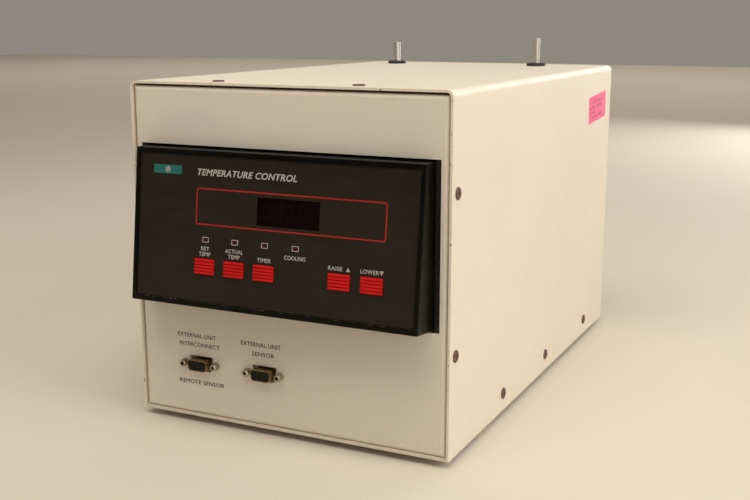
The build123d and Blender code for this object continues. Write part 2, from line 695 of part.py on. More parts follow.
with BuildPart() as tact_switches:
    switch_w, switch_t = 6.2, 3.3
    well = 1.8            # the plunger's way into the switch
    with BuildSketch(FACE.offset(-BOARD_BEHIND)):
        for x in KEY_X.values():
            with Locations((x, KEY_V)):
                Rectangle(switch_w, switch_w)
    extrude(amount=switch_t)
    with BuildSketch(FACE.offset(-BOARD_BEHIND + switch_t)):
        for x in KEY_X.values():
            with Locations((x, KEY_V)):
                Circle(PLUNGER_R + 0.4)
    extrude(amount=-well, mode=Mode.SUBTRACT)
tact_switches.part.label = "tact_switches"

keys = []
for name, x in KEY_X.items():
    key = key_cap(x)
    key.part.label = name
    keys.append(key)

# ---------------------------------------------------------------- sensor sockets

sockets = []
for side, x in SOCKET_X.items():
    shell = socket_shell(x)
    shell.part.label = f"connector_shell_{side}"
    insert = socket_insert(x)
    insert.part.label = f"connector_insert_{side}"
    sockets += [shell, insert]

with BuildPart() as jackscrews:
    flat_r = 2.35         # from the middle to a flat of the hexagon
    edge = 0.55
    stud_r, stud_behind = 1.4, 6.0
    tapped_r, tapped_l = 1.2, 5.0
    centres = [(x + half * JACK_SPACING / 2, SOCKET_H) for x in SOCKET_X.values() for half in (-1, 1)]
    with BuildSketch(PANEL):
        with Locations(*centres):
            RegularPolygon(flat_r, 6, major_radius=False)
    extrude(amount=JACK_L)
    chamfer(jackscrews.faces().group_by(Axis.Y)[0].edges(), edge)
    with BuildSketch(PANEL):
        with Locations(*centres):
            Circle(stud_r)
    extrude(amount=-stud_behind)
    with BuildSketch(PANEL.offset(JACK_L)):
        with Locations(*centres):
            Circle(tapped_r)
    extrude(amount=-tapped_l, mode=Mode.SUBTRACT)
jackscrews.part.label = "jackscrews"

# ---------------------------------------------------------------- coolant stubs and exchanger

stubs = []
for side, (x, stand) in STUBS.items():
    tube = coolant_tube(x, stand)
    tube.part.label = f"coolant_tube_{side}"
    stubs.append(tube)

with BuildPart() as tube_grommets:
    crown_r, brim_r, brim_t = 5.6, 8.3, 1.2
    waist_r = 5.5         # in the cover's hole
    lip_r, lip_t = 7.8, 1.6
    for x, stand in STUBS.values():
        profile_plane = Plane(origin=at(x, STUB_DEPTH, CASE_H), x_dir=(1, 0, 0), z_dir=(0, -1, 0))
        with BuildSketch(profile_plane) as profile:
            with BuildLine():
                Polyline(
                    (TUBE_BELOW_R, GROMMET_TOP),
                    (crown_r, GROMMET_TOP),
                    (brim_r, brim_t),
                    (brim_r, 0.0),
                    (waist_r, 0.0),
                    (waist_r, -SHEET),
                    (lip_r, -SHEET),
                    (lip_r, -SHEET - lip_t),
                    (TUBE_BELOW_R, -SHEET - lip_t),
                    close=True,
                )
            make_face()
            fillet(profile.vertices().sort_by(Axis.Y)[-2:], 0.5)
        revolve(axis=Axis(at(x, STUB_DEPTH, CASE_H), (0, 0, 1)))
tube_grommets.part.label = "tube_grommets"

EXCHANGER_MID = EXCHANGER_BASE + EXCHANGER_SIZE[2] / 2

with BuildPart(UNDER) as exchanger_core:
    plate_count = 8
    plate_pitch, plate_edge, plate_thick = 3.0, 3.0, 1.2
    with Locations((EXCHANGER_X, STUB_DEPTH, EXCHANGER_MID)):
        Box(CORE_W, CORE_D, CORE_TALL - 1.0)
    for level in range(plate_count):
        height = EXCHANGER_MID + plate_pitch * (level - (plate_count - 1) / 2)
        with Locations((EXCHANGER_X, STUB_DEPTH, height)):
            Box(CORE_W + plate_edge, CORE_D + plate_edge, plate_thick)
exchanger_core.part.label = "exchanger_core"

with BuildPart(UNDER) as exchanger_insulation:
    core_gap = 0.6        # all round the core's plates, both sides together
    suction_hole_r = 4.3
    capillary_hole_r = 1.7
    with Locations((EXCHANGER_X, STUB_DEPTH, EXCHANGER_MID)):
        Box(*EXCHANGER_SIZE)
    fillet(exchanger_insulation.edges().filter_by(Axis.Z), 5)
    with Locations((EXCHANGER_X, STUB_DEPTH, EXCHANGER_MID)):
        Box(
            CORE_W + plate_edge + core_gap,
            CORE_D + plate_edge + core_gap,
            CORE_TALL + 0.4,
            mode=Mode.SUBTRACT,
        )
    with BuildSketch(UNDER.offset(EXCHANGER_MID)):
        with Locations(*[(x, STUB_DEPTH) for x, stand in STUBS.values()]):
            Circle(STUB_R + 0.1)
    extrude(amount=EXCHANGER_SIZE[2], mode=Mode.SUBTRACT)
    with BuildSketch(FRONT.offset(-STUB_DEPTH)):
        with Locations((0, EXCHANGER_MID)):
            Circle(suction_hole_r)
    extrude(amount=EXCHANGER_SIZE[1], mode=Mode.SUBTRACT)
    with BuildSketch(SECTION.offset(60)):
        with Locations((STUB_DEPTH, EXCHANGER_MID)):
            Circle(capillary_hole_r)
    extrude(amount=30, mode=Mode.SUBTRACT)
exchanger_insulation.part.label = "exchanger_insulation"

with BuildPart(UNDER) as exchanger_bracket:
    shelf_t = 1.5
    shelf_w = 170.0
    shelf_front = 316.0
    shelf_d = CASE_D - REAR_RECESS - PANEL_SHEET - shelf_front
    with Locations((EXCHANGER_X, shelf_front, EXCHANGER_BASE - shelf_t)):
        Box(shelf_w, shelf_d, shelf_t, align=(Align.CENTER, Align.MIN, Align.MIN))
        Box(shelf_w, shelf_t, 8, align=(Align.CENTER, Align.MAX, Align.MIN))
    with Locations((EXCHANGER_X, shelf_front + shelf_d, EXCHANGER_BASE)):
        Box(shelf_w, shelf_t, 16, align=(Align.CENTER, Align.MAX, Align.MAX))
exchanger_bracket.part.label = "exchanger_bracket"

# ---------------------------------------------------------------- refrigeration circuit

plate_t = 2.5
plate_h = DECK_H + MOUNT_H
mount_places = GridLocations(MOUNT_PITCH_X, MOUNT_PITCH_Y, 2, 2)
COMPRESSOR = UNDER.offset(plate_h + plate_t).shift_origin(
    at(COMPRESSOR_X, COMPRESSOR_DEPTH, plate_h + plate_t)
)

with BuildPart() as compressor_shell:
    with BuildSketch(COMPRESSOR.offset(-plate_t)) as plate:
        Rectangle(MOUNT_PITCH_X + 22, MOUNT_PITCH_Y + 22)
        fillet(plate.vertices(), 12)
        with mount_places:
            Circle(6.4, mode=Mode.SUBTRACT)
    extrude(amount=plate_t)
    with BuildSketch(COMPRESSOR):
        Circle(COMPRESSOR_R)
    extrude(amount=COMPRESSOR_TALL)
    fillet(compressor_shell.faces().sort_by(Axis.Z)[-1].edges(), 24)
    with BuildSketch(COMPRESSOR.offset(60)):
        Circle(COMPRESSOR_R + 2.5)
    extrude(amount=5)
    with BuildSketch(Plane(origin=at(40, 255, 100), x_dir=(1, 0, 0), z_dir=(0, 1, 0))):
        Circle(5.5)
    extrude(amount=18)
    with BuildSketch(Plane(origin=at(0, 255, 60), x_dir=(1, 0, 0), z_dir=(0, 1, 0))):
        Circle(6)
    extrude(amount=18)
compressor_shell.part.label = "compressor_shell"

with BuildPart() as compressor_mounts:
    with BuildSketch(COMPRESSOR.offset(-plate_t - MOUNT_H)):
        with mount_places:
            Circle(9.5)
    extrude(amount=MOUNT_H)
    with BuildSketch(COMPRESSOR.offset(-plate_t)):
        with mount_places:
            Circle(6.2)
    extrude(amount=plate_t)
    with BuildSketch(COMPRESSOR):
        with mount_places:
            Circle(9.0)
    extrude(amount=2.5)
    with BuildSketch(COMPRESSOR.offset(-plate_t - MOUNT_H)):
        with mount_places:
            Circle(MOUNT_BOLT_R + 0.1)
    extrude(amount=MOUNT_H + plate_t + 2.5, mode=Mode.SUBTRACT)
compressor_mounts.part.label = "compressor_mounts"

with BuildPart() as compressor_bolts:
    with Locations(Location(COMPRESSOR.offset(2.5))):
        with GridLocations(MOUNT_PITCH_X, MOUNT_PITCH_Y, 2, 2):
            add(pan_screw(5.0, 3.5, MOUNT_BOLT_R, 22.5))
compressor_bolts.part.label = "compressor_bolts"

with BuildPart(UNDER) as terminal_cover:
    with Locations((-52.0, COMPRESSOR_DEPTH, 62)):
        Box(30, 42, 46)
    fillet(terminal_cover.edges().filter_by(Axis.Z), 4)
    with BuildSketch(COMPRESSOR):
        Circle(COMPRESSOR_R + 2.6)
    extrude(amount=COMPRESSOR_TALL, mode=Mode.SUBTRACT)
terminal_cover.part.label = "terminal_cover"

CONDENSER_DEPTH = 322.0
PASS_COUNT = 4
PASS_PITCH = 32.0
TUBE_R = 4.76
PASS_LEFT, PASS_RIGHT = -99.0, 9.0


def pass_height(number):
    """Height of one pass of the condenser's tube, counted from the top."""
    return FAN_H + PASS_PITCH * ((PASS_COUNT - 1) / 2 - number)


with BuildPart() as condenser_fins:
    fin_count = 27
    fin_pitch = 4.2
    fin_t = 0.7
    for number in range(fin_count):
        fin_x = (PASS_LEFT + PASS_RIGHT) / 2 + (number - (fin_count - 1) / 2) * fin_pitch
        with BuildSketch(SECTION.offset(fin_x)):
            with Locations((CONDENSER_DEPTH, FAN_H)):
                Rectangle(34, 122)
                with GridLocations(0, PASS_PITCH, 1, PASS_COUNT):
                    Circle(TUBE_R + 0.1, mode=Mode.SUBTRACT)
        extrude(amount=fin_t / 2, both=True)
condenser_fins.part.label = "condenser_fins"

route = [(30.0, CONDENSER_DEPTH, pass_height(0))]
for number in range(PASS_COUNT - 1):
    turn_x = PASS_LEFT - 12 if number % 2 == 0 else PASS_RIGHT + 12
    route.append((turn_x, CONDENSER_DEPTH, pass_height(number)))
    route.append((turn_x, CONDENSER_DEPTH, pass_height(number + 1)))
route.append((30.0, CONDENSER_DEPTH, pass_height(PASS_COUNT - 1)))
condenser_tube = pipe(route, TUBE_R, 11.9)
condenser_tube.part.label = "condenser_tube"

fan_front = CASE_D - REAR_RECESS - PANEL_SHEET - FAN_T
FAN = Plane(origin=at(FAN_X, fan_front, FAN_H), x_dir=(-1, 0, 0), z_dir=(0, 1, 0))

with BuildPart() as fan_shroud:
    shroud_l = fan_front - CONDENSER_DEPTH - 17.0
    with BuildSketch(FAN):
        Rectangle(FAN_SIZE, FAN_SIZE)
        Rectangle(FAN_SIZE - 2.4, FAN_SIZE - 2.4, mode=Mode.SUBTRACT)
    extrude(amount=-shroud_l)
fan_shroud.part.label = "fan_shroud"

discharge_line = pipe(
    [
        (40.0, 273.0, 100.0),
        (40.0, CONDENSER_DEPTH - 22.0, 100.0),
        (40.0, CONDENSER_DEPTH - 22.0, pass_height(0)),
        (40.0, CONDENSER_DEPTH, pass_height(0)),
        (30.0, CONDENSER_DEPTH, pass_height(0)),
    ],
    3.2,
    7.0,
)
discharge_line.part.label = "discharge_line"

DRIER_X = 98.0
liquid_line = pipe(
    [
        (30.0, CONDENSER_DEPTH, pass_height(PASS_COUNT - 1)),
        (DRIER_X, CONDENSER_DEPTH, pass_height(PASS_COUNT - 1)),
        (DRIER_X, CONDENSER_DEPTH, 48.0),
    ],
    3.2,
    9.0,
)
liquid_line.part.label = "liquid_line"

with BuildPart() as filter_drier:
    with BuildSketch(SECTION.offset(DRIER_X)) as half:
        with BuildLine():
            Polyline(
                (CONDENSER_DEPTH, 48.0),
                (CONDENSER_DEPTH + 4.2, 48.0),
                (CONDENSER_DEPTH + 4.2, 53.0),
                (CONDENSER_DEPTH + 10.5, 61.0),
                (CONDENSER_DEPTH + 10.5, 128.0),
                (CONDENSER_DEPTH + 2.6, 136.0),
                (CONDENSER_DEPTH + 2.6, 140.0),
                (CONDENSER_DEPTH, 140.0),
                close=True,
            )
        make_face()
    revolve(axis=Axis(at(DRIER_X, CONDENSER_DEPTH, 0), (0, 0, 1)))
filter_drier.part.label = "filter_drier"

capillary_tube = pipe(
    [
        (DRIER_X, CONDENSER_DEPTH, 140.0),
        (DRIER_X, CONDENSER_DEPTH, 152.0),
        (DRIER_X, 300.0, 152.0),
        (DRIER_X, 300.0, 165.0),
        (DRIER_X, STUB_DEPTH, 165.0),
        (DRIER_X, STUB_DEPTH, EXCHANGER_MID),
        (EXCHANGER_X + (CORE_W + 3) / 2, STUB_DEPTH, EXCHANGER_MID),
    ],
    1.3,
    5.5,
)
capillary_tube.part.label = "capillary_tube"

suction_line = pipe(
    [
        (0.0, STUB_DEPTH - (CORE_D + 3) / 2, EXCHANGER_MID),
        (0.0, 292.0, EXCHANGER_MID),
        (0.0, 292.0, 60.0),
        (0.0, 273.0, 60.0),
    ],
    4.0,
    9.0,
)
suction_line.part.label = "suction_line"

# ---------------------------------------------------------------- fan

with BuildPart() as fan_frame:
    spider_r, spider_w, spider_t = 19.0, 5.0, 3.0
    motor_r, motor_l, bearing_r = 16.5, 8.5, 1.55
    with BuildSketch(FAN) as square:
        Rectangle(FAN_SIZE, FAN_SIZE)
        fillet(square.vertices(), 6)
        Circle(FAN_BORE_R, mode=Mode.SUBTRACT)
        with GridLocations(FAN_PITCH, FAN_PITCH, 2, 2):
            Circle(TAP_R, mode=Mode.SUBTRACT)
    extrude(amount=FAN_T)
    with BuildSketch(FAN):
        Circle(spider_r)
        with PolarLocations(0, 2, start_angle=45, angular_range=180):
            Rectangle(2 * FAN_BORE_R + 4, spider_w)
    extrude(amount=spider_t)
    with BuildSketch(FAN):
        Circle(motor_r)
    extrude(amount=motor_l)
    with BuildSketch(FAN):
        Circle(bearing_r)
    extrude(amount=motor_l, mode=Mode.SUBTRACT)
fan_frame.part.label = "fan_frame"

with BuildPart() as fan_rotor:
    hub_start, hub_l, hub_r = 9.0, 15.0, 19.5
    shaft_start, shaft_r = 2.0, 1.5
    blade_count, blade_pitch = 7, 34
    blade_mid_r, blade_l, blade_w, blade_t = 37, 38, 26, 1.6
    tip_gap = 1.7
    with BuildSketch(FAN.offset(hub_start)):
        Circle(hub_r)
    extrude(amount=hub_l)
    fillet(fan_rotor.faces().sort_by(Axis.Y)[-1].edges(), 1.5)
    with BuildSketch(FAN.offset(shaft_start)):
        Circle(shaft_r)
    extrude(amount=hub_start - shaft_start)
    for number in range(blade_count):
        turn = Location(FAN.offset(hub_start + hub_l / 2))
        turn *= Location((0, 0, 0), (0, 0, number * 360 / blade_count))
        with Locations(turn * Location((blade_mid_r, 0, 0), (blade_pitch, 0, 0))):
            Box(blade_l, blade_w, blade_t)
    with BuildSketch(FAN.offset(1.0)):
        Circle(FAN_BORE_R - tip_gap)
    extrude(amount=FAN_T, mode=Mode.INTERSECT)
fan_rotor.part.label = "fan_rotor"

with BuildPart() as fan_guard:
    wire_r = 1.0
    spoke_rise, ring_rise = 1.2, 2.9
    eyelet_r, eyelet_t = 4.6, 2.0
    GUARD = Plane(origin=at(FAN_X, CASE_D - REAR_RECESS, FAN_H), x_dir=(-1, 0, 0), z_dir=(0, 1, 0))
    ear = FAN_PITCH / 2
    for angle in (45, 135):
        turn = Location(GUARD.offset(spoke_rise)) * Location((0, 0, 0), (0, 0, angle))
        with Locations(turn * Location((0, 0, 0), (0, 90, 0))):
            Cylinder(wire_r, 2 * (ear * 2 ** 0.5 - 4.1))
    with BuildSketch(GUARD):
        with GridLocations(FAN_PITCH, FAN_PITCH, 2, 2):
            Circle(eyelet_r)
            Circle(TAP_R, mode=Mode.SUBTRACT)
    extrude(amount=eyelet_t)
    with Locations(Location(GUARD.offset(ring_rise))):
        for ring_r in (11, 20.5, 30, 39.5, 49, 58.5):
            Torus(ring_r, wire_r)
fan_guard.part.label = "fan_guard"

with BuildPart() as fan_screws:
    with Locations(Location(GUARD.offset(eyelet_t))):
        with GridLocations(FAN_PITCH, FAN_PITCH, 2, 2):
            add(pan_screw(3.6, 1.8, COVER_SHANK_R, 14.0))
fan_screws.part.label = "fan_screws"

# ---------------------------------------------------------------- mains entry

with BuildPart() as power_inlet:
    rim_t = 2.4
    recess_depth = 17.0
    pin_reach = 12.6
    with BuildSketch(REAR):
        with Locations((-MAINS_X, INLET_H)):
            Rectangle(27.0, 19.6)
    extrude(amount=-24)
    with BuildSketch(REAR) as bezel:
        with Locations((-MAINS_X, INLET_H)):
            Rectangle(31.0, 24.0)
        fillet(bezel.vertices(), 2)
    extrude(amount=rim_t)
    chamfer(power_inlet.faces().sort_by(Axis.Y)[-1].edges(), 0.6)
    with BuildSketch(REAR.offset(rim_t)) as recess:
        with Locations((-MAINS_X, INLET_H)):
            Rectangle(24.4, 16.4)
        chamfer(recess.vertices().group_by(Axis.Y)[-1], 4.6)
    extrude(amount=-recess_depth, mode=Mode.SUBTRACT)
    with BuildSketch(REAR.offset(rim_t - recess_depth)):
        for pin_x, pin_h in ((-7, -2.0), (7, -2.0), (0, 2.4)):
            with Locations((pin_x - MAINS_X, INLET_H + pin_h)):
                Rectangle(2.0, 4.0)
    extrude(amount=pin_reach)
power_inlet.part.label = "power_inlet"

with BuildPart() as fuse_holder:
    with BuildSketch(REAR):
        with Locations((-MAINS_X, FUSE_H)):
            Circle(8.0)
    extrude(amount=2.0)
    with BuildSketch(REAR):
        with Locations((-MAINS_X, FUSE_H)):
            Circle(6.0)
    extrude(amount=-30)
    with BuildSketch(REAR.offset(2.0)):
        with Locations((-MAINS_X, FUSE_H)):
            Circle(5.2)
    extrude(amount=1.6)
    with BuildSketch(REAR.offset(3.6)):
        with Locations((-MAINS_X, FUSE_H)):
            Rectangle(8.0, 1.2)
    extrude(amount=-1.2, mode=Mode.SUBTRACT)
fuse_holder.part.label = "fuse_holder"

PIVOT = at(MAINS_X, CASE_D - REAR_RECESS - 1.0, SWITCH_H)
PIVOT_R = 1.2
ROCKER_R = 8.2
ROCKER_W = 9.6

with BuildPart() as switch_frame:
    with BuildSketch(REAR):
        with Locations((-MAINS_X, SWITCH_H)):
            Rectangle(13.0, 19.2)
    extrude(amount=-16)
    with BuildSketch(REAR) as rim:
        with Locations((-MAINS_X, SWITCH_H)):
            Rectangle(15.0, 21.0)
        fillet(rim.vertices(), 1.2)
    extrude(amount=1.8)
    fillet(switch_frame.faces().sort_by(Axis.Y)[-1].edges(), 0.5)
    with BuildSketch(REAR.offset(1.8)):
        with Locations((-MAINS_X, SWITCH_H)):
            Rectangle(ROCKER_W + 0.6, 2 * ROCKER_R + 0.6)
    extrude(amount=-12, mode=Mode.SUBTRACT)
    with BuildSketch(Plane(origin=PIVOT, x_dir=(0, 1, 0), z_dir=(1, 0, 0))):
        Circle(PIVOT_R + 0.05)
    extrude(amount=ROCKER_W / 2 + 1.1, both=True, mode=Mode.SUBTRACT)
switch_frame.part.label = "switch_frame"

with BuildPart() as switch_rocker:
    rocker_plane = Plane(origin=PIVOT, x_dir=(0, sin(ROCKER_TILT), cos(ROCKER_TILT)), z_dir=(-1, 0, 0))
    with BuildSketch(rocker_plane):
        Circle(ROCKER_R)
        with BuildLine():
            Polyline(
                (-10.0, -3.5),
                (10.0, -3.5),
                (10.0, 3.8),
                (0.0, 2.6),
                (-10.0, 3.8),
                close=True,
            )
        make_face(mode=Mode.INTERSECT)
    extrude(amount=ROCKER_W / 2, both=True)
    with BuildSketch(rocker_plane):
        Circle(PIVOT_R)
    extrude(amount=ROCKER_W / 2 + 1.0, both=True)
switch_rocker.part.label = "switch_rocker"

# ---------------------------------------------------------------- electrics on the deck

STANDING = (Align.CENTER, Align.CENTER, Align.MIN)
LEFT_X = -72.0
TRANSFORMER_DEPTH, RELAY_DEPTH = 92.0, 158.0

with BuildPart(UNDER) as transformer_core:
    with Locations((LEFT_X, TRANSFORMER_DEPTH, DECK_H)):
        Box(44, 62, 52, align=STANDING)
        Box(44, 84, 1.6, align=STANDING)
    with Locations((LEFT_X, TRANSFORMER_DEPTH, DECK_H + 9.0)):
        Box(60, 43, 34, align=STANDING, mode=Mode.SUBTRACT)
        Box(44, 18, 34, align=STANDING)
transformer_core.part.label = "transformer_core"

with BuildPart(UNDER) as transformer_coil:
    with Locations((LEFT_X, TRANSFORMER_DEPTH, DECK_H + 9.4)):
        Box(62, 42, 33.2, align=STANDING)
    fillet(transformer_coil.edges().filter_by(Axis.Z), 7)
    with Locations((LEFT_X, TRANSFORMER_DEPTH, DECK_H + 9.4)):
        Box(44.4, 18.4, 33.2, align=STANDING, mode=Mode.SUBTRACT)
transformer_coil.part.label = "transformer_coil"

with BuildPart(UNDER) as power_relay:
    with Locations((LEFT_X, RELAY_DEPTH, DECK_H)):
        Box(30, 38, 1.6, align=STANDING)
        Box(28, 26, 32, align=STANDING)
    with Locations((LEFT_X, RELAY_DEPTH, DECK_H + 32.0)):
        with GridLocations(16, 12, 2, 2):
            Box(6.3, 0.8, 8, align=STANDING)
power_relay.part.label = "power_relay"

CONTROL_X, CONTROL_DEPTH = 40.0, 92.0
CONTROL_STAND = 8.0
control_holes = GridLocations(110, 86, 2, 2)
CONTROL = UNDER.offset(DECK_H + CONTROL_STAND).shift_origin(
    at(CONTROL_X, CONTROL_DEPTH, DECK_H + CONTROL_STAND)
)

with BuildPart() as control_board:
    with BuildSketch(CONTROL):
        Rectangle(120, 96)
        with control_holes:
            Circle(1.4, mode=Mode.SUBTRACT)
    extrude(amount=BOARD_T)
    with Locations(Location(CONTROL.offset(BOARD_T))):
        with Locations((-40, 22)):
            Cylinder(11, 26, align=STANDING)
        with Locations((-14, 26)):
            Cylinder(8, 20, align=STANDING)
        with Locations((34, 20)):
            Box(8, 34, 26, align=STANDING)
            with GridLocations(0, 5, 1, 7):
                Box(20, 1.4, 26, align=STANDING)
        for x, y, width, length, tall in ((-20, -18, 52, 14, 5), (26, -22, 26, 8, 4), (0, -40, 60, 9, 10)):
            with Locations((x, y)):
                Box(width, length, tall, align=STANDING)
control_board.part.label = "control_board"

with BuildPart() as board_standoffs:
    with BuildSketch(CONTROL):
        with control_holes:
            RegularPolygon(3.0, 6)
    extrude(amount=-CONTROL_STAND)
board_standoffs.part.label = "board_standoffs"

# ---------------------------------------------------------------- files

pieces = [
    wrap_cover, base_chassis, front_panel, rear_panel, feet, foot_screws, cover_screws, panel_screws,
    inspection_label, bezel_housing, bezel_gasket, bezel_nuts, overlay_panel, display_window,
    display_module, indicator_leds, display_board, display_board_screws, tact_switches, *keys,
    *sockets, jackscrews, *stubs, tube_grommets, exchanger_core, exchanger_insulation,
    exchanger_bracket, compressor_shell, compressor_mounts, compressor_bolts, terminal_cover,
    condenser_fins, condenser_tube, fan_shroud, discharge_line, liquid_line, filter_drier,
    capillary_tube, suction_line, fan_frame, fan_rotor, fan_guard, fan_screws, power_inlet,
    fuse_holder, switch_frame, switch_rocker, transformer_core, transformer_coil, power_relay,
    control_board, board_standoffs,
]
os.makedirs("parts", exist_ok=True)
for piece in pieces:
    export_step(piece.part, f"parts/{piece.part.label}.step")
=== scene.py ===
"""The looks of a small refrigerated bench chiller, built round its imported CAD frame.

Metres, +Z up, the front faces -Y. Every place is worked out from the frame's own boxes.
"""

import json
import math
import random

import bmesh
import bpy
from mathutils import Matrix, Vector


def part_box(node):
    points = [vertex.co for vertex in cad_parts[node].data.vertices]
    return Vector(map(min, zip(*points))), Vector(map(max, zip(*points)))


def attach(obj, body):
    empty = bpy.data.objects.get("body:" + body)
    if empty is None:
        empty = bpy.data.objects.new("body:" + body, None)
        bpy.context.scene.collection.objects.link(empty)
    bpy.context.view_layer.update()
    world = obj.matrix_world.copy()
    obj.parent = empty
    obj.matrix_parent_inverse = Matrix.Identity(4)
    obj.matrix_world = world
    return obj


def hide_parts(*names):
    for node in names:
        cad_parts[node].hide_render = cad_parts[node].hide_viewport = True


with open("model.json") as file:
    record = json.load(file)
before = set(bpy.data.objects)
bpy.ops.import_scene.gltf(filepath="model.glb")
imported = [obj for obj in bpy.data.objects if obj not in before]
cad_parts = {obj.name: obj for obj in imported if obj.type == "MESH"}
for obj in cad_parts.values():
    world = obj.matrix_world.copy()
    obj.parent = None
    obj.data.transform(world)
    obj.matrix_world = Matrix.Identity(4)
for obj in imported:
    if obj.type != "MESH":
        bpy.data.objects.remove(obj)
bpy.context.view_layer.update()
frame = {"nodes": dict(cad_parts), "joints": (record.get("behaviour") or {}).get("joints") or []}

MM = 0.001
CASE = "case"

# ---------------------------------------------------------------- places read from the frame

X = Vector((1, 0, 0))
Y = Vector((0, 1, 0))
Z = Vector((0, 0, 1))


def reach(node, direction):
    """How far a CAD node reaches along a direction."""
    return max(vertex.co.dot(direction) for vertex in frame["nodes"][node].data.vertices)


def middle(node):
    """The middle of a CAD node's box."""
    low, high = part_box(node)
    return (low + high) / 2


def joint(name):
    """One joint of the record."""
    return next(entry for entry in frame["joints"] if entry["name"] == name)


def placement(origin, right, up):
    """A matrix whose local X is right, local Y is up and local Z comes out of the surface."""
    out = right.cross(up)
    matrix = Matrix((right, up, out)).transposed().to_4x4()
    matrix.translation = origin
    return matrix


FACE_OUT = -Vector(joint("key_timer_press")["axis"]).normalized()
FACE_UP = FACE_OUT.cross(X)
OVERLAY_TOP = 3.45 * MM     # the overlay's top edge, below the bezel's own
FACE = placement(
    FACE_OUT * reach("overlay_panel", FACE_OUT)
    + FACE_UP * (reach("overlay_panel", FACE_UP) + OVERLAY_TOP),
    X,
    FACE_UP,
)
BASE_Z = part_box("wrap_cover")[0].z
FRONT_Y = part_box("wrap_cover")[0].y
PANEL = placement(Vector((0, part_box("front_panel")[0].y, BASE_Z)), X, Z)
REAR = placement(Vector((0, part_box("rear_panel")[1].y, BASE_Z)), -X, Z)

# ---------------------------------------------------------------- node materials


class Recipe:
    """One node material: a Principled shader and short ways to feed it."""

    def __init__(self, name, **sockets):
        self.material = bpy.data.materials.new(name)
        self.material.use_nodes = True
        self.tree = self.material.node_tree
        self.shader = self.tree.nodes["Principled BSDF"]
        self.place = self.tree.nodes.new("ShaderNodeTexCoord").outputs["Object"]
        for socket, value in sockets.items():
            self.shader.inputs[socket.replace("_", " ")].default_value = value

    def node(self, kind, inputs=(), **settings):
        """A node with its settings made and its inputs linked or set."""
        made = self.tree.nodes.new(kind)
        for key, value in settings.items():
            setattr(made, key, value)
        for key, value in dict(inputs).items():
            if isinstance(value, bpy.types.NodeSocket):
                self.tree.links.new(value, made.inputs[key])
            else:
                made.inputs[key].default_value = value
        return made

    def stretched(self, stretch):
        """Object coordinates, scaled along the axes."""
        return self.node("ShaderNodeMapping", {"Vector": self.place, "Scale": stretch}).outputs[0]

    def noise(self, scale, detail=3.0, roughness=0.5, stretch=None):
        """Noise from 0 to 1; scale is in waves per metre."""
        vector = self.stretched(stretch) if stretch else self.place
        inputs = {"Vector": vector, "Scale": scale, "Detail": detail, "Roughness": roughness}
        return self.node("ShaderNodeTexNoise", inputs).outputs["Fac"]

    def cells(self, scale):
        """Distance to the nearest of scattered points, for grain and pores."""
        inputs = {"Vector": self.place, "Scale": scale}
        return self.node("ShaderNodeTexVoronoi", inputs).outputs["Distance"]

    def maths(self, operation, first, second=0.0, third=0.0):
        """One sum."""
        inputs = {0: first, 1: second, 2: third}
        return self.node("ShaderNodeMath", inputs, operation=operation).outputs[0]

    def step(self, value, low, high, start=0.0, end=1.0):
        """A smooth step from start to end as value goes from low to high."""
        inputs = {"Value": value, "From Min": low, "From Max": high}
        inputs.update({"To Min": start, "To Max": end})
        return self.node("ShaderNodeMapRange", inputs, interpolation_type="SMOOTHSTEP").outputs[0]

    def ramp(self, value, *stops):
        """A colour for each value, from (position, colour) stops."""
        made = self.node("ShaderNodeValToRGB", {"Fac": value})
        elements = made.color_ramp.elements
        while len(elements) < len(stops):
            elements.new(0.5)
        for element, (position, colour) in zip(elements, stops):
            element.position = position
            element.color = (*colour, 1.0)
        return made.outputs["Color"]

    def mix(self, share, first, second):
        """Two colours mixed."""
        made = self.node("ShaderNodeMix", data_type="RGBA")
        for key, value in (("Factor", share), ("A", first), ("B", second)):
            named = [socket for socket in made.inputs if socket.name == key]
            socket = next(s for s in named if key == "Factor" or s.type == "RGBA")
            if isinstance(value, bpy.types.NodeSocket):
                self.tree.links.new(value, socket)
            else:
                socket.default_value = value if key == "Factor" else (*value, 1.0)
        return next(s for s in made.outputs if s.type == "RGBA")

    def axis(self, name):
        """One object coordinate."""
        return self.node("ShaderNodeSeparateXYZ", {"Vector": self.place}).outputs[name]

    def colour(self, socket):
        """The base colour, fed by a colour socket."""
        self.tree.links.new(socket, self.shader.inputs["Base Color"])

    def gloss(self, socket):
        """The roughness, fed by a value socket."""
        self.tree.links.new(socket, self.shader.inputs["Roughness"])

    def bump(self, height, distance, strength=1.0):
        """Relief: distance is its depth in metres."""
        inputs = {"Height": height, "Distance": distance, "Strength": strength}
        made = self.node("ShaderNodeBump", inputs)
        self.tree.links.new(made.outputs["Normal"], self.shader.inputs["Normal"])


def shade(colour, factor):
    """A colour made lighter or darker."""
    return tuple(min(1.0, channel * factor) for channel in colour)


PATCH_X, PATCH_UP = -70 * MM, 208 * MM      # the middle of a greyish patch on the front panel
PATCH_FADE_X = (24 * MM, 38 * MM)           # where it fades, from its middle
PATCH_FADE_UP = (10 * MM, 20 * MM)
PATCH_RAGGED = 14 * MM
CHIP_FADE = (0.3 * MM, 1.3 * MM)            # where the chips fade, from the cover's front edge


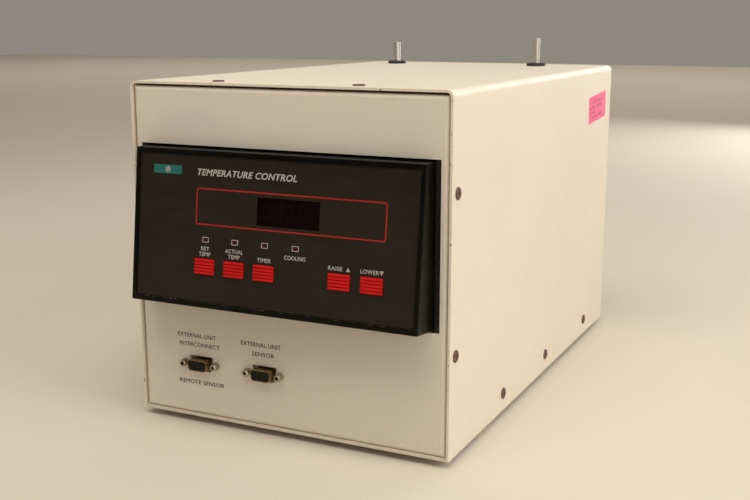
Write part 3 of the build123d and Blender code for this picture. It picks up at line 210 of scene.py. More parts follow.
def powder_coat(name, colour, grain, depth, patch=False, chipped=False):
    """Baked paint: a pebbled skin, slow changes of tone, and dark chips along the front edge."""
    recipe = Recipe(name, Roughness=0.5)
    tone = recipe.noise(7, 4)
    speckle = recipe.noise(420, 5, 0.65)
    base = recipe.ramp(tone, (0.3, shade(colour, 0.955)), (0.7, shade(colour, 1.03)))
    fine = recipe.ramp(speckle, (0.35, shade(colour, 0.93)), (0.65, shade(colour, 1.04)))
    painted = recipe.mix(0.35, base, fine)
    if patch:
        across = recipe.maths("SUBTRACT", recipe.axis("X"), PATCH_X)
        across = recipe.maths("ABSOLUTE", across)
        above = recipe.maths("SUBTRACT", recipe.axis("Z"), BASE_Z + PATCH_UP)
        above = recipe.maths("ABSOLUTE", above)
        edge = recipe.maths("MULTIPLY", recipe.noise(120, 5, 0.65), PATCH_RAGGED)
        inside_x = recipe.step(recipe.maths("ADD", across, edge), *PATCH_FADE_X, 1.0, 0.0)
        inside_z = recipe.step(recipe.maths("ADD", above, edge), *PATCH_FADE_UP, 1.0, 0.0)
        ghost = recipe.maths("MULTIPLY", recipe.maths("MULTIPLY", inside_x, inside_z), 0.45)
        painted = recipe.mix(ghost, painted, (0.68, 0.63, 0.60))
    if chipped:
        near, far = [FRONT_Y + part for part in CHIP_FADE]
        front = recipe.step(recipe.axis("Y"), near, far, 1.0, 0.0)
        chips = recipe.step(recipe.noise(260, 6, 0.72), 0.60, 0.66)
        painted = recipe.mix(recipe.maths("MULTIPLY", front, chips), painted, (0.10, 0.075, 0.055))
    recipe.colour(painted)
    recipe.gloss(recipe.step(recipe.noise(35, 4), 0.3, 0.7, 0.44, 0.56))
    pebbles = recipe.maths("MULTIPLY_ADD", recipe.cells(grain), 0.7, recipe.noise(grain * 1.7, 2))
    recipe.bump(pebbles, depth, 0.55)
    return recipe.material


def moulded(
    name, colour, roughness=0.45, grain=2600, depth=0.00002, tone=0.12, coat=0.0, specular=0.5
):
    """Moulded plastic: spark-eroded skin, faint flow marks and finger polish."""
    recipe = Recipe(name, Coat_Weight=coat, Coat_Roughness=0.15, Specular_IOR_Level=specular)
    flow = recipe.noise(45, 5, 0.6)
    dull, bright = shade(colour, 1 - tone), shade(colour, 1 + tone)
    recipe.colour(recipe.ramp(flow, (0.3, dull), (0.72, bright)))
    polish = recipe.noise(90, 4)
    recipe.gloss(recipe.step(polish, 0.3, 0.7, roughness - 0.06, roughness + 0.08))
    recipe.bump(recipe.noise(grain, 3, 0.6), depth, 0.5)
    return recipe.material


DUST_FADE = (0.2 * MM, 0.9 * MM)        # where the dust fades, from the overlay's lower edge
DUST_DEPTH = (2.2 * MM, 0.5 * MM)       # where it starts and is full, below the bezel's rim


def bezel_plastic(name):
    """The bezel's black plastic, with dust caught along the overlay's lower edge."""
    recipe = Recipe(name, Specular_IOR_Level=0.16)
    up_y = recipe.maths("MULTIPLY", recipe.axis("Y"), FACE_UP.y)
    along = recipe.maths("MULTIPLY_ADD", recipe.axis("Z"), FACE_UP.z, up_y)
    out_y = recipe.maths("MULTIPLY", recipe.axis("Y"), FACE_OUT.y)
    out = recipe.maths("MULTIPLY_ADD", recipe.axis("Z"), FACE_OUT.z, out_y)
    lower = -reach("overlay_panel", -FACE_UP)
    height = reach("bezel_housing", FACE_OUT)
    gap = recipe.maths("ABSOLUTE", recipe.maths("SUBTRACT", along, lower))
    near = recipe.step(gap, *DUST_FADE, 1.0, 0.0)
    shallow = recipe.step(out, *[height - part for part in DUST_DEPTH])
    specks = recipe.step(recipe.noise(520, 7, 0.75), 0.55, 0.62)
    dust = recipe.maths("MULTIPLY", recipe.maths("MULTIPLY", near, shallow), specks)
    cloud = recipe.noise(30, 4)
    black = recipe.ramp(cloud, (0.3, (0.0022, 0.0022, 0.0014)), (0.7, (0.0042, 0.0042, 0.0028)))
    rubbed = recipe.step(recipe.noise(900, 8, 0.8), 0.71, 0.76, 0.0, 0.35)
    worn = recipe.mix(rubbed, black, (0.022, 0.022, 0.018))
    recipe.colour(recipe.mix(dust, worn, (0.20, 0.185, 0.155)))
    recipe.gloss(recipe.step(recipe.noise(120, 5), 0.3, 0.7, 0.27, 0.40))
    recipe.bump(recipe.noise(2400, 3, 0.6), 0.000012, 0.5)
    return recipe.material


def printed(name, colour):
    """Screen-printed ink: a slightly uneven film with pinholes."""
    recipe = Recipe(name)
    film = recipe.noise(1500, 5, 0.7)
    recipe.colour(recipe.ramp(film, (0.3, shade(colour, 0.78)), (0.62, colour)))
    recipe.gloss(recipe.step(recipe.noise(700, 3), 0.3, 0.7, 0.42, 0.58))
    recipe.bump(recipe.noise(4000, 2), 0.000006, 0.5)
    return recipe.material


def overlay_film(name):
    """The dark velvet-finish film on the bezel, with a little dust and faint wipe marks."""
    recipe = Recipe(name, Specular_IOR_Level=0.35)
    tone = recipe.noise(24, 5, 0.6)
    film = recipe.ramp(tone, (0.3, (0.0130, 0.0085, 0.0040)), (0.7, (0.0160, 0.0108, 0.0052)))
    dust = recipe.step(recipe.noise(1300, 6, 0.8), 0.735, 0.78, 0.0, 0.30)
    recipe.colour(recipe.mix(dust, film, (0.16, 0.15, 0.13)))
    wipe = recipe.noise(30, 6, 0.7, (1.0, 1.0, 5.0))
    recipe.gloss(recipe.step(wipe, 0.35, 0.65, 0.40, 0.50))
    recipe.bump(recipe.noise(3600, 2), 0.000010, 0.6)
    return recipe.material


def metal(name, colour, roughness=0.3, brushed=None, scale=900, tarnish=None):
    """Bare or plated metal: brush marks along one axis, or a cast of fine grain, and stains."""
    recipe = Recipe(name, Metallic=1.0)
    marks = recipe.noise(scale, 5, 0.65, brushed)
    plain = recipe.ramp(marks, (0.25, shade(colour, 0.80)), (0.75, shade(colour, 1.12)))
    stain = recipe.step(recipe.noise(160, 5, 0.6), 0.48, 0.72)
    recipe.colour(recipe.mix(stain, plain, tarnish or shade(colour, 0.62)))
    recipe.gloss(recipe.step(recipe.noise(240, 4), 0.3, 0.7, roughness - 0.07, roughness + 0.12))
    recipe.bump(marks, 0.0000025, 0.5)
    return recipe.material


def drawn_tube(name, colour):
    """Smooth drawn steel: faint lines along the tube and an even satin."""
    recipe = Recipe(name, Metallic=1.0)
    lines = recipe.noise(900, 3, 0.5, (1.0, 1.0, 0.02))
    recipe.colour(recipe.ramp(lines, (0.3, shade(colour, 0.94)), (0.7, shade(colour, 1.04))))
    recipe.gloss(recipe.step(recipe.noise(40, 2), 0.3, 0.7, 0.33, 0.39))
    recipe.bump(lines, 0.0000003, 0.3)
    return recipe.material


def zinc_yellow(name):
    """Yellow-passivated zinc: gold that drifts to green and rose."""
    recipe = Recipe(name, Metallic=1.0)
    drift = recipe.noise(190, 4, 0.6)
    recipe.colour(
        recipe.ramp(
            drift,
            (0.28, (0.13, 0.13, 0.05)),
            (0.46, (0.27, 0.24, 0.11)),
            (0.60, (0.26, 0.12, 0.08)),
            (0.76, (0.42, 0.37, 0.24)),
        )
    )
    recipe.gloss(recipe.step(recipe.noise(500, 4), 0.3, 0.7, 0.26, 0.44))
    recipe.bump(recipe.noise(1800, 4), 0.00001, 0.5)
    return recipe.material


def screw_paint(name):
    """The cover screws' dull brown-mauve plating, rubbed paler where a driver has turned."""
    recipe = Recipe(name, Metallic=0.55)
    worn = recipe.noise(700, 5, 0.7)
    dark, plain, pale = (0.115, 0.052, 0.045), (0.20, 0.10, 0.085), (0.34, 0.22, 0.19)
    recipe.colour(recipe.ramp(worn, (0.35, dark), (0.60, plain), (0.8, pale)))
    recipe.gloss(recipe.step(recipe.noise(500, 3), 0.3, 0.7, 0.38, 0.55))
    recipe.bump(recipe.noise(2200, 4), 0.00002, 0.6)
    return recipe.material


def rubber(name, colour=(0.014, 0.014, 0.014), bloom=0.05):
    """Moulded rubber with a dusty bloom."""
    recipe = Recipe(name)
    cloud = recipe.step(recipe.noise(220, 6, 0.7), 0.45, 0.75, 0.0, 0.5)
    recipe.colour(recipe.mix(cloud, colour, tuple(channel + bloom for channel in colour)))
    recipe.gloss(recipe.step(recipe.noise(300, 4), 0.3, 0.7, 0.58, 0.78))
    recipe.bump(recipe.noise(1600, 4, 0.6), 0.00004, 0.6)
    return recipe.material


def filter_window(name):
    """The display's deep red filter, clear enough to show the digits behind it."""
    recipe = Recipe(name, Alpha=0.55, Specular_IOR_Level=0.4)
    haze = recipe.noise(60, 3)
    deep, clear = (0.0060, 0.0012, 0.0012), (0.0085, 0.0016, 0.0016)
    recipe.colour(recipe.ramp(haze, (0.3, deep), (0.7, clear)))
    recipe.gloss(recipe.step(recipe.noise(200, 4), 0.3, 0.7, 0.07, 0.13))
    recipe.bump(recipe.noise(80, 2), 0.00001, 0.2)
    return recipe.material


def board_mask(name):
    """Green solder mask over copper tracks."""
    recipe = Recipe(name, Coat_Weight=0.5, Coat_Roughness=0.1)
    bricks = {
        "Vector": recipe.stretched((1, 1, 0)),
        "Scale": 160.0,
        "Color1": (0.02, 0.13, 0.05, 1),
        "Color2": (0.03, 0.18, 0.07, 1),
        "Mortar": (0.05, 0.26, 0.11, 1),
    }
    tracks = recipe.node("ShaderNodeTexBrick", bricks).outputs["Color"]
    recipe.colour(recipe.mix(recipe.noise(90, 3), tracks, (0.02, 0.12, 0.05)))
    recipe.gloss(recipe.step(recipe.noise(300, 3), 0.3, 0.7, 0.30, 0.45))
    recipe.bump(recipe.noise(900, 3), 0.00003, 0.4)
    return recipe.material


def paper(name, colour):
    """A paper label with fibres and a little fading."""
    recipe = Recipe(name)
    fibres = recipe.noise(1800, 6, 0.75, (1.0, 0.35, 1.0))
    faded = recipe.noise(40, 3)
    first = recipe.ramp(fibres, (0.3, shade(colour, 0.9)), (0.7, shade(colour, 1.05)))
    recipe.colour(recipe.mix(recipe.step(faded, 0.4, 0.8, 0.0, 0.3), first, shade(colour, 1.15)))
    recipe.gloss(recipe.step(faded, 0.3, 0.7, 0.52, 0.70))
    recipe.bump(fibres, 0.00002, 0.5)
    return recipe.material


CREAM = (0.790, 0.705, 0.585)
cover_coat = powder_coat("cover_powder_coat", CREAM, 900, 0.00004, chipped=True)
# the panels' paint is the cover's cream made a little darker and cooler: painted cool shade for
# the front
panel_coat_cool_shade = powder_coat("panel_powder_coat_cool_shade", (0.762, 0.690, 0.592), 820, 0.00007, patch=True)
base_coat = powder_coat("base_powder_coat", shade(CREAM, 0.92), 820, 0.00010)
bezel_black = bezel_plastic("bezel_black_plastic")
overlay_brown = overlay_film("overlay_velvet_film")
key_red = moulded("key_red_plastic", (0.60, 0.006, 0.006), 0.5, 2200, 0.00002, 0.08, specular=0.25)
window_red = filter_window("window_red_filter")
led_red = moulded("led_dark_red_lens", (0.045, 0.004, 0.007), 0.22, 900, 0.000005, 0.2, 0.6)
black_plastic = moulded("black_moulded_plastic", (0.016, 0.016, 0.016), 0.42, 2000, 0.00003)
dark_grey_plastic = moulded("dark_grey_plastic", (0.045, 0.045, 0.047), 0.5, 1800, 0.00003)
insert_black = moulded(
    "insert_black_plastic", (0.0035, 0.0038, 0.0038), 0.4, 2600, 0.00001, specular=0.2
)
yellow_zinc = zinc_yellow("yellow_zinc_plate")
jack_steel = metal("jackscrew_plate", (0.44, 0.39, 0.31), 0.34, None, 1400, (0.24, 0.18, 0.12))
screw_brown = screw_paint("screw_brown_plate")
bright_zinc = metal("bright_zinc_plate", (0.66, 0.66, 0.65), 0.32, None, 1100)
galvanised = metal("galvanised_sheet", (0.60, 0.61, 0.61), 0.38, None, 160)
stainless = drawn_tube("drawn_stainless", (0.66, 0.63, 0.59))
guard_wire = metal("guard_wire_plate", (0.70, 0.70, 0.69), 0.22, None, 900)
copper = metal("copper_tube", (0.80, 0.42, 0.26), 0.30, None, 700, (0.40, 0.17, 0.09))
fin_aluminium = metal("fin_aluminium", (0.78, 0.79, 0.80), 0.34, (1.0, 1.0, 0.1), 900)
core_iron = metal("laminated_iron", (0.33, 0.32, 0.31), 0.45, (1.0, 60.0, 1.0), 60)
rubber_black = rubber("rubber_black")
foam_black = rubber("foam_black", (0.006, 0.006, 0.006), 0.006)
enamel_black = moulded("compressor_enamel", (0.012, 0.012, 0.012), 0.22, 400, 0.00004, 0.2, 0.5)
varnish_amber = moulded("varnished_winding", (0.36, 0.16, 0.035), 0.35, 700, 0.00008, 0.25, 0.4)
board_green = board_mask("board_solder_mask")
contact_gold = metal("contact_gold", (0.42, 0.31, 0.14), 0.32, None, 1400)
plate_foil = drawn_tube("rating_plate_foil", (0.62, 0.62, 0.60))
label_pink = paper("label_pink_paper", (0.93, 0.145, 0.315))

MATERIALS = {
    "wrap_cover": cover_coat,
    "front_panel": panel_coat_cool_shade,
    "rear_panel": panel_coat_cool_shade,
    "base_chassis": base_coat,
    "feet": rubber_black,
    "foot_screws": bright_zinc,
    "cover_screws": screw_brown,
    "panel_screws": bright_zinc,
    "inspection_label": label_pink,
    "bezel_housing": bezel_black,
    "bezel_gasket": foam_black,
    "bezel_nuts": bright_zinc,
    "overlay_panel": overlay_brown,
    "display_window": window_red,
    "display_module": dark_grey_plastic,
    "indicator_leds": led_red,
    "display_board": board_green,
    "display_board_screws": bright_zinc,
    "tact_switches": dark_grey_plastic,
    "key_set_temp": key_red,
    "key_actual_temp": key_red,
    "key_timer": key_red,
    "key_raise": key_red,
    "key_lower": key_red,
    "connector_shell_left": yellow_zinc,
    "connector_shell_right": yellow_zinc,
    "connector_insert_left": insert_black,
    "connector_insert_right": insert_black,
    "jackscrews": jack_steel,
    "coolant_tube_left": stainless,
    "coolant_tube_right": stainless,
    "tube_grommets": rubber_black,
    "exchanger_core": stainless,
    "exchanger_insulation": foam_black,
    "exchanger_bracket": galvanised,
    "compressor_shell": enamel_black,
    "compressor_mounts": rubber_black,
    "compressor_bolts": bright_zinc,
    "terminal_cover": black_plastic,
    "condenser_fins": fin_aluminium,
    "condenser_tube": copper,
    "fan_shroud": galvanised,
    "discharge_line": copper,
    "liquid_line": copper,
    "filter_drier": copper,
    "capillary_tube": copper,
    "suction_line": copper,
    "fan_frame": black_plastic,
    "fan_rotor": dark_grey_plastic,
    "fan_guard": guard_wire,
    "fan_screws": screw_brown,
    "power_inlet": black_plastic,
    "fuse_holder": black_plastic,
    "switch_frame": black_plastic,
    "switch_rocker": insert_black,
    "transformer_core": core_iron,
    "transformer_coil": varnish_amber,
    "power_relay": dark_grey_plastic,
    "control_board": board_green,
    "board_standoffs": bright_zinc,
}
for name, node in frame["nodes"].items():
    node.data.materials.clear()
    node.data.materials.append(MATERIALS[name])

# ---------------------------------------------------------------- printed graphics

ink_white = printed("ink_warm_white", (0.50, 0.46, 0.43))
ink_red = printed("ink_red", (0.42, 0.008, 0.009))
ink_black = printed("ink_black", (0.010, 0.007, 0.005))
ink_teal = printed("ink_teal", (0.012, 0.150, 0.135))
ink_pink = printed("ink_dark_pink", (0.50, 0.050, 0.120))
scuff_grey = printed("scuff_grey", (0.050, 0.044, 0.036))
digit_red = printed("digit_dark_red", (0.085, 0.008, 0.008))
joint_red = printed("digit_edge_red", (0.34, 0.010, 0.014))
INK = 0.02 * MM             # the thickness of print
INK_LOW = INK * 0.25        # print starts a hair above its surface
INK_TOP = INK * 1.25
LETTER_SPACING = 1.06
LETTER_WELD = 0.0005        # points closer than this part of a letter's height are one


def add_piece(name, made, material, matrix=None, body=CASE):
    """A finished bmesh as a piece that rides on a body."""
    mesh = bpy.data.meshes.new(name)
    bmesh.ops.recalc_face_normals(made, faces=made.faces)
    made.to_mesh(mesh)
    made.free()
    mesh.materials.append(material)
    piece = bpy.data.objects.new(name, mesh)
    bpy.context.scene.collection.objects.link(piece)
    if matrix is not None:
        mesh.transform(matrix)
    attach(piece, body)
    return piece


def add_prism(made, outline, low, high, holes=()):
    """A flat plate with an outline and holes, between two heights, added to a bmesh."""
    rings = [outline, *holes]
    edges = []
    for ring in rings:
        points = [made.verts.new((x, y, low)) for x, y in ring]
        edges += [made.edges.new((points[i - 1], points[i])) for i in range(len(points))]
    filled = bmesh.ops.triangle_fill(made, use_beauty=True, edges=edges)["geom"]
    faces = [part for part in filled if isinstance(part, bmesh.types.BMFace)]
    raised = bmesh.ops.extrude_face_region(made, geom=faces)["geom"]
    points = [part for part in raised if isinstance(part, bmesh.types.BMVert)]
    bmesh.ops.translate(made, verts=points, vec=(0, 0, high - low))


def rounded(width, height, radius, steps=5, centre=(0.0, 0.0)):
    """The outline of a rectangle with round corners."""
    points = []
    for quarter, (side_x, side_y) in enumerate(((1, 1), (-1, 1), (-1, -1), (1, -1))):
        for step in range(steps + 1):
            angle = math.pi / 2 * (quarter + step / steps)
            x = centre[0] + side_x * (width / 2 - radius) + radius * math.cos(angle)
            y = centre[1] + side_y * (height / 2 - radius) + radius * math.sin(angle)
            points.append((x, y))
    return points


def bar(start, end, width):
    """The outline of a straight stroke."""
    along = (Vector(end) - Vector(start)).normalized()
    side = Vector((-along.y, along.x)) * width / 2
    a, b = Vector(start), Vector(end)
    return [tuple(a - side), tuple(b - side), tuple(b + side), tuple(a + side)]


def embolden(made, amount):
    """Flat letters made thicker: their outlines are moved outwards."""
    sides = {}
    for edge in made.edges:
        if not edge.is_boundary:
            continue
        loop = edge.link_loops[0]
        outward = (loop.link_loop_next.vert.co - loop.vert.co).cross(loop.face.normal).normalized()
        for vertex in edge.verts:
            sides.setdefault(vertex, []).append(outward)
    for vertex, outwards in sides.items():
        mitre = sum(outwards, Vector()).normalized()
        vertex.co += mitre * amount / max(0.5, mitre.dot(outwards[0]))


def lettering(name, words, matrix, centre, width, cap, material, bold=0.0, slant=0.0):
    """Printed words, fitted to a width and a capital height."""
    curve = bpy.data.curves.new(name, "FONT")
    curve.body = words
    curve.shear = slant
    curve.space_character = LETTER_SPACING
    curve.resolution_u = 4
    source = bpy.data.objects.new(name + ".source", curve)
    bpy.context.scene.collection.objects.link(source)
    bpy.context.view_layer.update()
    solved = source.evaluated_get(bpy.context.evaluated_depsgraph_get())
    mesh = bpy.data.meshes.new_from_object(solved)
    bpy.data.objects.remove(source)
    made = bmesh.new()
    made.from_mesh(mesh)
    bpy.data.meshes.remove(mesh)
    bmesh.ops.remove_doubles(made, verts=made.verts, dist=LETTER_WELD)
    made.normal_update()
    embolden(made, bold)
    low = [min(vertex.co[i] for vertex in made.verts) for i in range(2)]
    high = [max(vertex.co[i] for vertex in made.verts) for i in range(2)]
    for vertex in made.verts:
        share = [(vertex.co[i] - low[i]) / (high[i] - low[i]) for i in range(2)]
        vertex.co = (
            centre[0] + (share[0] - 0.5) * width,
            centre[1] + (share[1] - 0.5) * cap,
            INK_LOW,
        )
    raised = bmesh.ops.extrude_face_region(made, geom=list(made.faces))["geom"]
    points = [part for part in raised if isinstance(part, bmesh.types.BMVert)]
    bmesh.ops.translate(made, verts=points, vec=(0, 0, INK))
    add_piece(name, made, material, matrix)


# the face: places are x and distance up the face from its top edge, in millimetres;
# each label's row is its piece, words, x, distance up and width
KEY_LABELS = [
    ("label_set", "SET", -48.4, -64.0, 6.6),
    ("label_set_temp", "TEMP", -48.7, -67.6, 9.2),
    ("label_actual", "ACTUAL", -26.1, -64.0, 13.6),
    ("label_actual_temp", "TEMP", -26.1, -67.6, 9.0),
    ("label_timer", "TIMER", -3.4, -67.6, 10.0),
    ("label_cooling", "COOLING", 19.0, -64.2, 15.3),
    ("label_raise", "RAISE", 47.9, -67.6, 9.9),
    ("label_lower", "LOWER", 71.7, -67.6, 12.6),
]
LABEL_CAP = 2.65 * MM
for name, words, x, v, width in KEY_LABELS:
    lettering(name, words, FACE, (x * MM, v * MM), width * MM, LABEL_CAP, ink_white, bold=0.014)

TITLE_PLACE = (-19.2 * MM, -14.1 * MM)
TITLE_W, TITLE_CAP = 74.6 * MM, 4.4 * MM
lettering(
    "title_lettering", "TEMPERATURE CONTROL", FACE, TITLE_PLACE, TITLE_W, TITLE_CAP, ink_white,
    bold=0.022, slant=0.24,
)

# arrows beside RAISE and LOWER: x, and 1 for up or -1 for down
ARROWS = [(56.9, 1), (79.7, -1)]
ARROW_ROW = -67.6 * MM
ARROW_HALF_W, ARROW_L = 1.45 * MM, 2.6 * MM
made = bmesh.new()
for x, point in ARROWS:
    centre = Vector((x * MM, ARROW_ROW))
    outline = [
        (centre.x - ARROW_HALF_W, centre.y - point * ARROW_L / 2),
        (centre.x + ARROW_HALF_W, centre.y - point * ARROW_L / 2),
        (centre.x, centre.y + point * ARROW_L / 2),
    ]
    add_prism(made, outline, INK_LOW, INK_TOP)
add_piece("raise_lower_arrows", made, ink_white, FACE)

# the red line round the display
FRAME_PLACE = (12.4 * MM, -36.45 * MM)
FRAME_W, FRAME_L, FRAME_R = 138.2 * MM, 24.3 * MM, 2.2 * MM
FRAME_LINE = 0.9 * MM
INSIDE_W, INSIDE_L, INSIDE_R = FRAME_W - 2 * FRAME_LINE, FRAME_L - 2 * FRAME_LINE, 1.3 * MM
made = bmesh.new()
outer = rounded(FRAME_W, FRAME_L, FRAME_R, 8, FRAME_PLACE)
inner = rounded(INSIDE_W, INSIDE_L, INSIDE_R, 8, FRAME_PLACE)
add_prism(made, outer, INK_LOW, INK_TOP, [inner])
add_piece("display_outline", made, ink_red, FACE)

# a white line round each of the four indicators
LEDS = 4
LED_FIRST_X, LED_PITCH, LED_ROW = -48.4, 22.5, -58.1
LED_OUTER = (4.9 * MM, 3.5 * MM, 0.3 * MM)      # width, length and corner radius
LED_INNER = (4.0 * MM, 2.65 * MM, 0.12 * MM)
made = bmesh.new()
for place in range(LEDS):
    centre = ((LED_FIRST_X + LED_PITCH * place) * MM, LED_ROW * MM)
    outer, inner = rounded(*LED_OUTER, 3, centre), rounded(*LED_INNER, 3, centre)
    add_prism(made, outer, INK_LOW, INK_TOP, [inner])
add_piece("indicator_outlines", made, ink_white, FACE)

# three unlit seven-segment digits on the module behind the window
DIGIT_W, DIGIT_L, DIGIT_PITCH = 8.2 * MM, 13.6 * MM, 14.6 * MM
SEGMENT, SEGMENT_GAP = 1.25 * MM, 0.2 * MM
DIGIT_SLANT = 0.12
JOINT_HALF, JOINT_W = 8.6 * MM, 0.7 * MM      # the edges seen between the digits' blocks
module_out = reach("display_module", FACE_OUT) - reach("overlay_panel", FACE_OUT)
WINDOW_MID = FACE.inverted() @ middle("display_window")


def segment_bar(start, end):
    """A pointed display segment, slanted with its digit."""
    start, end = Vector(start), Vector(end)
    along = (end - start).normalized()
    side = Vector((-along.y, along.x)) * SEGMENT / 2
    tip = along * SEGMENT / 2
    a, b = start + along * SEGMENT_GAP, end - along * SEGMENT_GAP
    points = [a, a + tip + side, b - tip + side, b, b - tip - side, a + tip - side]
    return [(point.x + point.y * DIGIT_SLANT, point.y) for point in points]


made = bmesh.new()
strips = bmesh.new()
for place in (-1, 0, 1):
    middle_x = WINDOW_MID.x + place * DIGIT_PITCH
    corners = [(side * DIGIT_W / 2, up * DIGIT_L / 2) for up in (-1, 0, 1) for side in (-1, 1)]
    for first, second in ((0, 1), (2, 3), (4, 5), (0, 2), (2, 4), (1, 3), (3, 5)):
        outline = segment_bar(corners[first], corners[second])
        moved = [(x + middle_x, y + WINDOW_MID.y) for x, y in outline]
        add_prism(made, moved, module_out + INK, module_out + 3 * INK)
    edge_x = middle_x + DIGIT_PITCH / 2
    if place < 1:
        ends = [(edge_x, WINDOW_MID.y + up * JOINT_HALF) for up in (-1, 1)]
        add_prism(strips, bar(*ends, JOINT_W), module_out + INK, module_out + 3 * INK)
add_piece("display_segments", made, digit_red, FACE)
add_piece("display_joints", strips, joint_red, FACE)

# a plain badge with a snowflake: each arm's strokes run from (along, aside) to (along, aside)
BADGE = (-80.2 * MM, -13.7 * MM)
BADGE_W, BADGE_L, BADGE_R = 22.4 * MM, 5.8 * MM, 0.6 * MM
ARM, ARM_W = 2.3, 0.30 * MM
BARB, BARB_PLACES = 0.65, (0.9, 1.5)
made = bmesh.new()
add_prism(made, rounded(BADGE_W, BADGE_L, BADGE_R, 4, BADGE), INK_LOW, INK * 1.5)
add_piece("badge_plate", made, ink_teal, FACE)
made = bmesh.new()
for arm in range(6):
    angle = math.radians(60 * arm + 30)
    along = Vector((math.cos(angle), math.sin(angle)))
    centre = Vector(BADGE)
    strokes = [(0.0, 0.0, ARM, 0.0)]
    for base in BARB_PLACES:
        strokes += [(base, 0.0, base + BARB, side * BARB) for side in (-1, 1)]
    side_way = Vector((-along.y, along.x))
    for a, b, c, d in strokes:
        start = centre + (along * a + side_way * b) * MM
        end = centre + (along * c + side_way * d) * MM
        add_prism(made, bar(start, end, ARM_W), INK * 1.6, INK * 2.2)
add_piece("badge_snowflake", made, ink_white, FACE)

# the words beside the sockets: x from the middle, height above the cover's lower edge, width
SOCKET_CAP = 3.0 * MM
SOCKET_LABELS = [
    ("label_interface_top", "EXTERNAL UNIT", -70.4, 58.8, 31.5),
    ("label_interface", "INTERCONNECT", -68.5, 52.4, 33.2),
    ("label_remote", "REMOTE SENSOR", -67.4, 25.2, 36.9),
    ("label_sensor_top", "EXTERNAL UNIT", -18.9, 58.8, 31.0),
    ("label_sensor", "SENSOR", -17.0, 52.3, 17.6),
]
for name, words, x, height, width in SOCKET_LABELS:
    place = (x * MM, height * MM)
    lettering(name, words, PANEL, place, width * MM, SOCKET_CAP, ink_black, bold=0.017)

# ---------------------------------------------------------------- marks and wear

SCRATCH = [(22.8, -48.2), (24.6, -50.4), (26.1, -52.9), (28.0, -55.4)]      # on the overlay
SCRATCH_W = 0.13 * MM
made = bmesh.new()
for start, end in zip(SCRATCH, SCRATCH[1:]):
    outline = bar([c * MM for c in start], [c * MM for c in end], SCRATCH_W)
    add_prism(made, outline, INK_LOW, INK)
add_piece("overlay_scratch", made, scuff_grey, FACE)

# the sticker: ruled rows with smudged strokes, no words
LABEL_TURN = math.radians(3.7)
sticker = middle("inspection_label")
STICKER = placement(
    Vector((reach("inspection_label", X), sticker.y, sticker.z)),
    Y * math.cos(LABEL_TURN) + Z * math.sin(LABEL_TURN),
    Z * math.cos(LABEL_TURN) - Y * math.sin(LABEL_TURN),
)
RULES = [(8.2, 0.25), (3.6, 0.2), (-0.6, 0.2), (-4.8, 0.2), (-8.8, 0.25)]    # height, thickness
RULE_HALF = 25 * MM
ROWS = [(5.9, 0.9), (1.5, 0.75), (-2.7, 0.4), (-6.8, 0.85)]     # height, share that is filled
ROW_START, ROW_SPAN = -23.0, 46.0
made = bmesh.new()
for height, thick in RULES:
    ends = [(side * RULE_HALF, height * MM) for side in (-1, 1)]
    add_prism(made, bar(*ends, thick * MM), INK_LOW, INK)
strokes = random.Random(7)
for height, share in ROWS:
    along = ROW_START + 5.0 * strokes.random()
    while along < ROW_START + ROW_SPAN * share:
        wide = 1.2 + 3.4 * strokes.random()
        thick = 1.3 + 0.9 * strokes.random()
        middle_h = height + 0.35 * (strokes.random() - 0.5)
        outline = rounded(wide * MM, thick * MM, 0.3 * MM, 2, (along * MM, middle_h * MM))
        add_prism(made, outline, INK * 0.3, INK)
        along += wide + 0.8 + 2.2 * strokes.random()
add_piece("sticker_rules", made, ink_pink, STICKER)

# ---------------------------------------------------------------- sockets and mains entry

CONTACT_PITCH, ROW_PITCH = 2.77 * MM, 2.84 * MM
CONTACT_R, CONTACT_BORE_R = 0.58 * MM, 0.34 * MM
CONTACT_DEEP, CONTACT_SUNK = 4.0 * MM, 0.5 * MM     # its foot and mouth, below the insert's face


def circle(radius, centre=(0.0, 0.0), steps=20):
    """The outline of a circle."""
    angles = [2 * math.pi * step / steps for step in range(steps)]
    return [(centre[0] + radius * math.cos(a), centre[1] + radius * math.sin(a)) for a in angles]


for side in ("left", "right"):
    node = f"connector_insert_{side}"
    centre = PANEL.inverted() @ middle(node)
    out = reach(node, -Y) - reach("front_panel", -Y)
    made = bmesh.new()
    for count, row in ((5, 1), (4, -1)):
        for place in range(count):
            aside = (place - (count - 1) / 2) * CONTACT_PITCH
            spot = (centre.x + aside, centre.y + row * ROW_PITCH / 2)
            wall, bore = circle(CONTACT_R, spot), circle(CONTACT_BORE_R, spot)
            add_prism(made, wall, out - CONTACT_DEEP, out - CONTACT_SUNK, [bore])
    piece = add_piece(f"contacts_{side}", made, contact_gold, PANEL)

# on and off marks on the rocker's two halves, which are its two largest faces to the rear
OFF_R, OFF_BORE_R = 1.45 * MM, 0.95 * MM
ON_HALF, ON_W = 1.5 * MM, 0.5 * MM
FACES_REAR = 0.9
rocker = frame["nodes"]["switch_rocker"].data
halves = {}
for face in rocker.polygons:
    if face.normal.y > FACES_REAR:
        halves.setdefault(tuple(round(part, 2) for part in face.normal), []).append(face)
halves = sorted(halves.values(), key=lambda faces: sum(face.area for face in faces))[-2:]
halves.sort(key=lambda faces: faces[0].center.z)
for name, faces, outline, holes in (
    ("rocker_mark_off", halves[0], circle(OFF_R, steps=32), [circle(OFF_BORE_R, steps=32)]),
    ("rocker_mark_on", halves[1], bar((0.0, -ON_HALF), (0.0, ON_HALF), ON_W), []),
):
    area = sum(face.area for face in faces)
    centre = sum((face.center * face.area for face in faces), Vector()) / area
    normal = faces[0].normal.normalized()
    made = bmesh.new()
    add_prism(made, outline, INK_LOW, INK_TOP, holes)
    add_piece(name, made, ink_white, placement(centre, -X, normal.cross(-X)), "rocker")

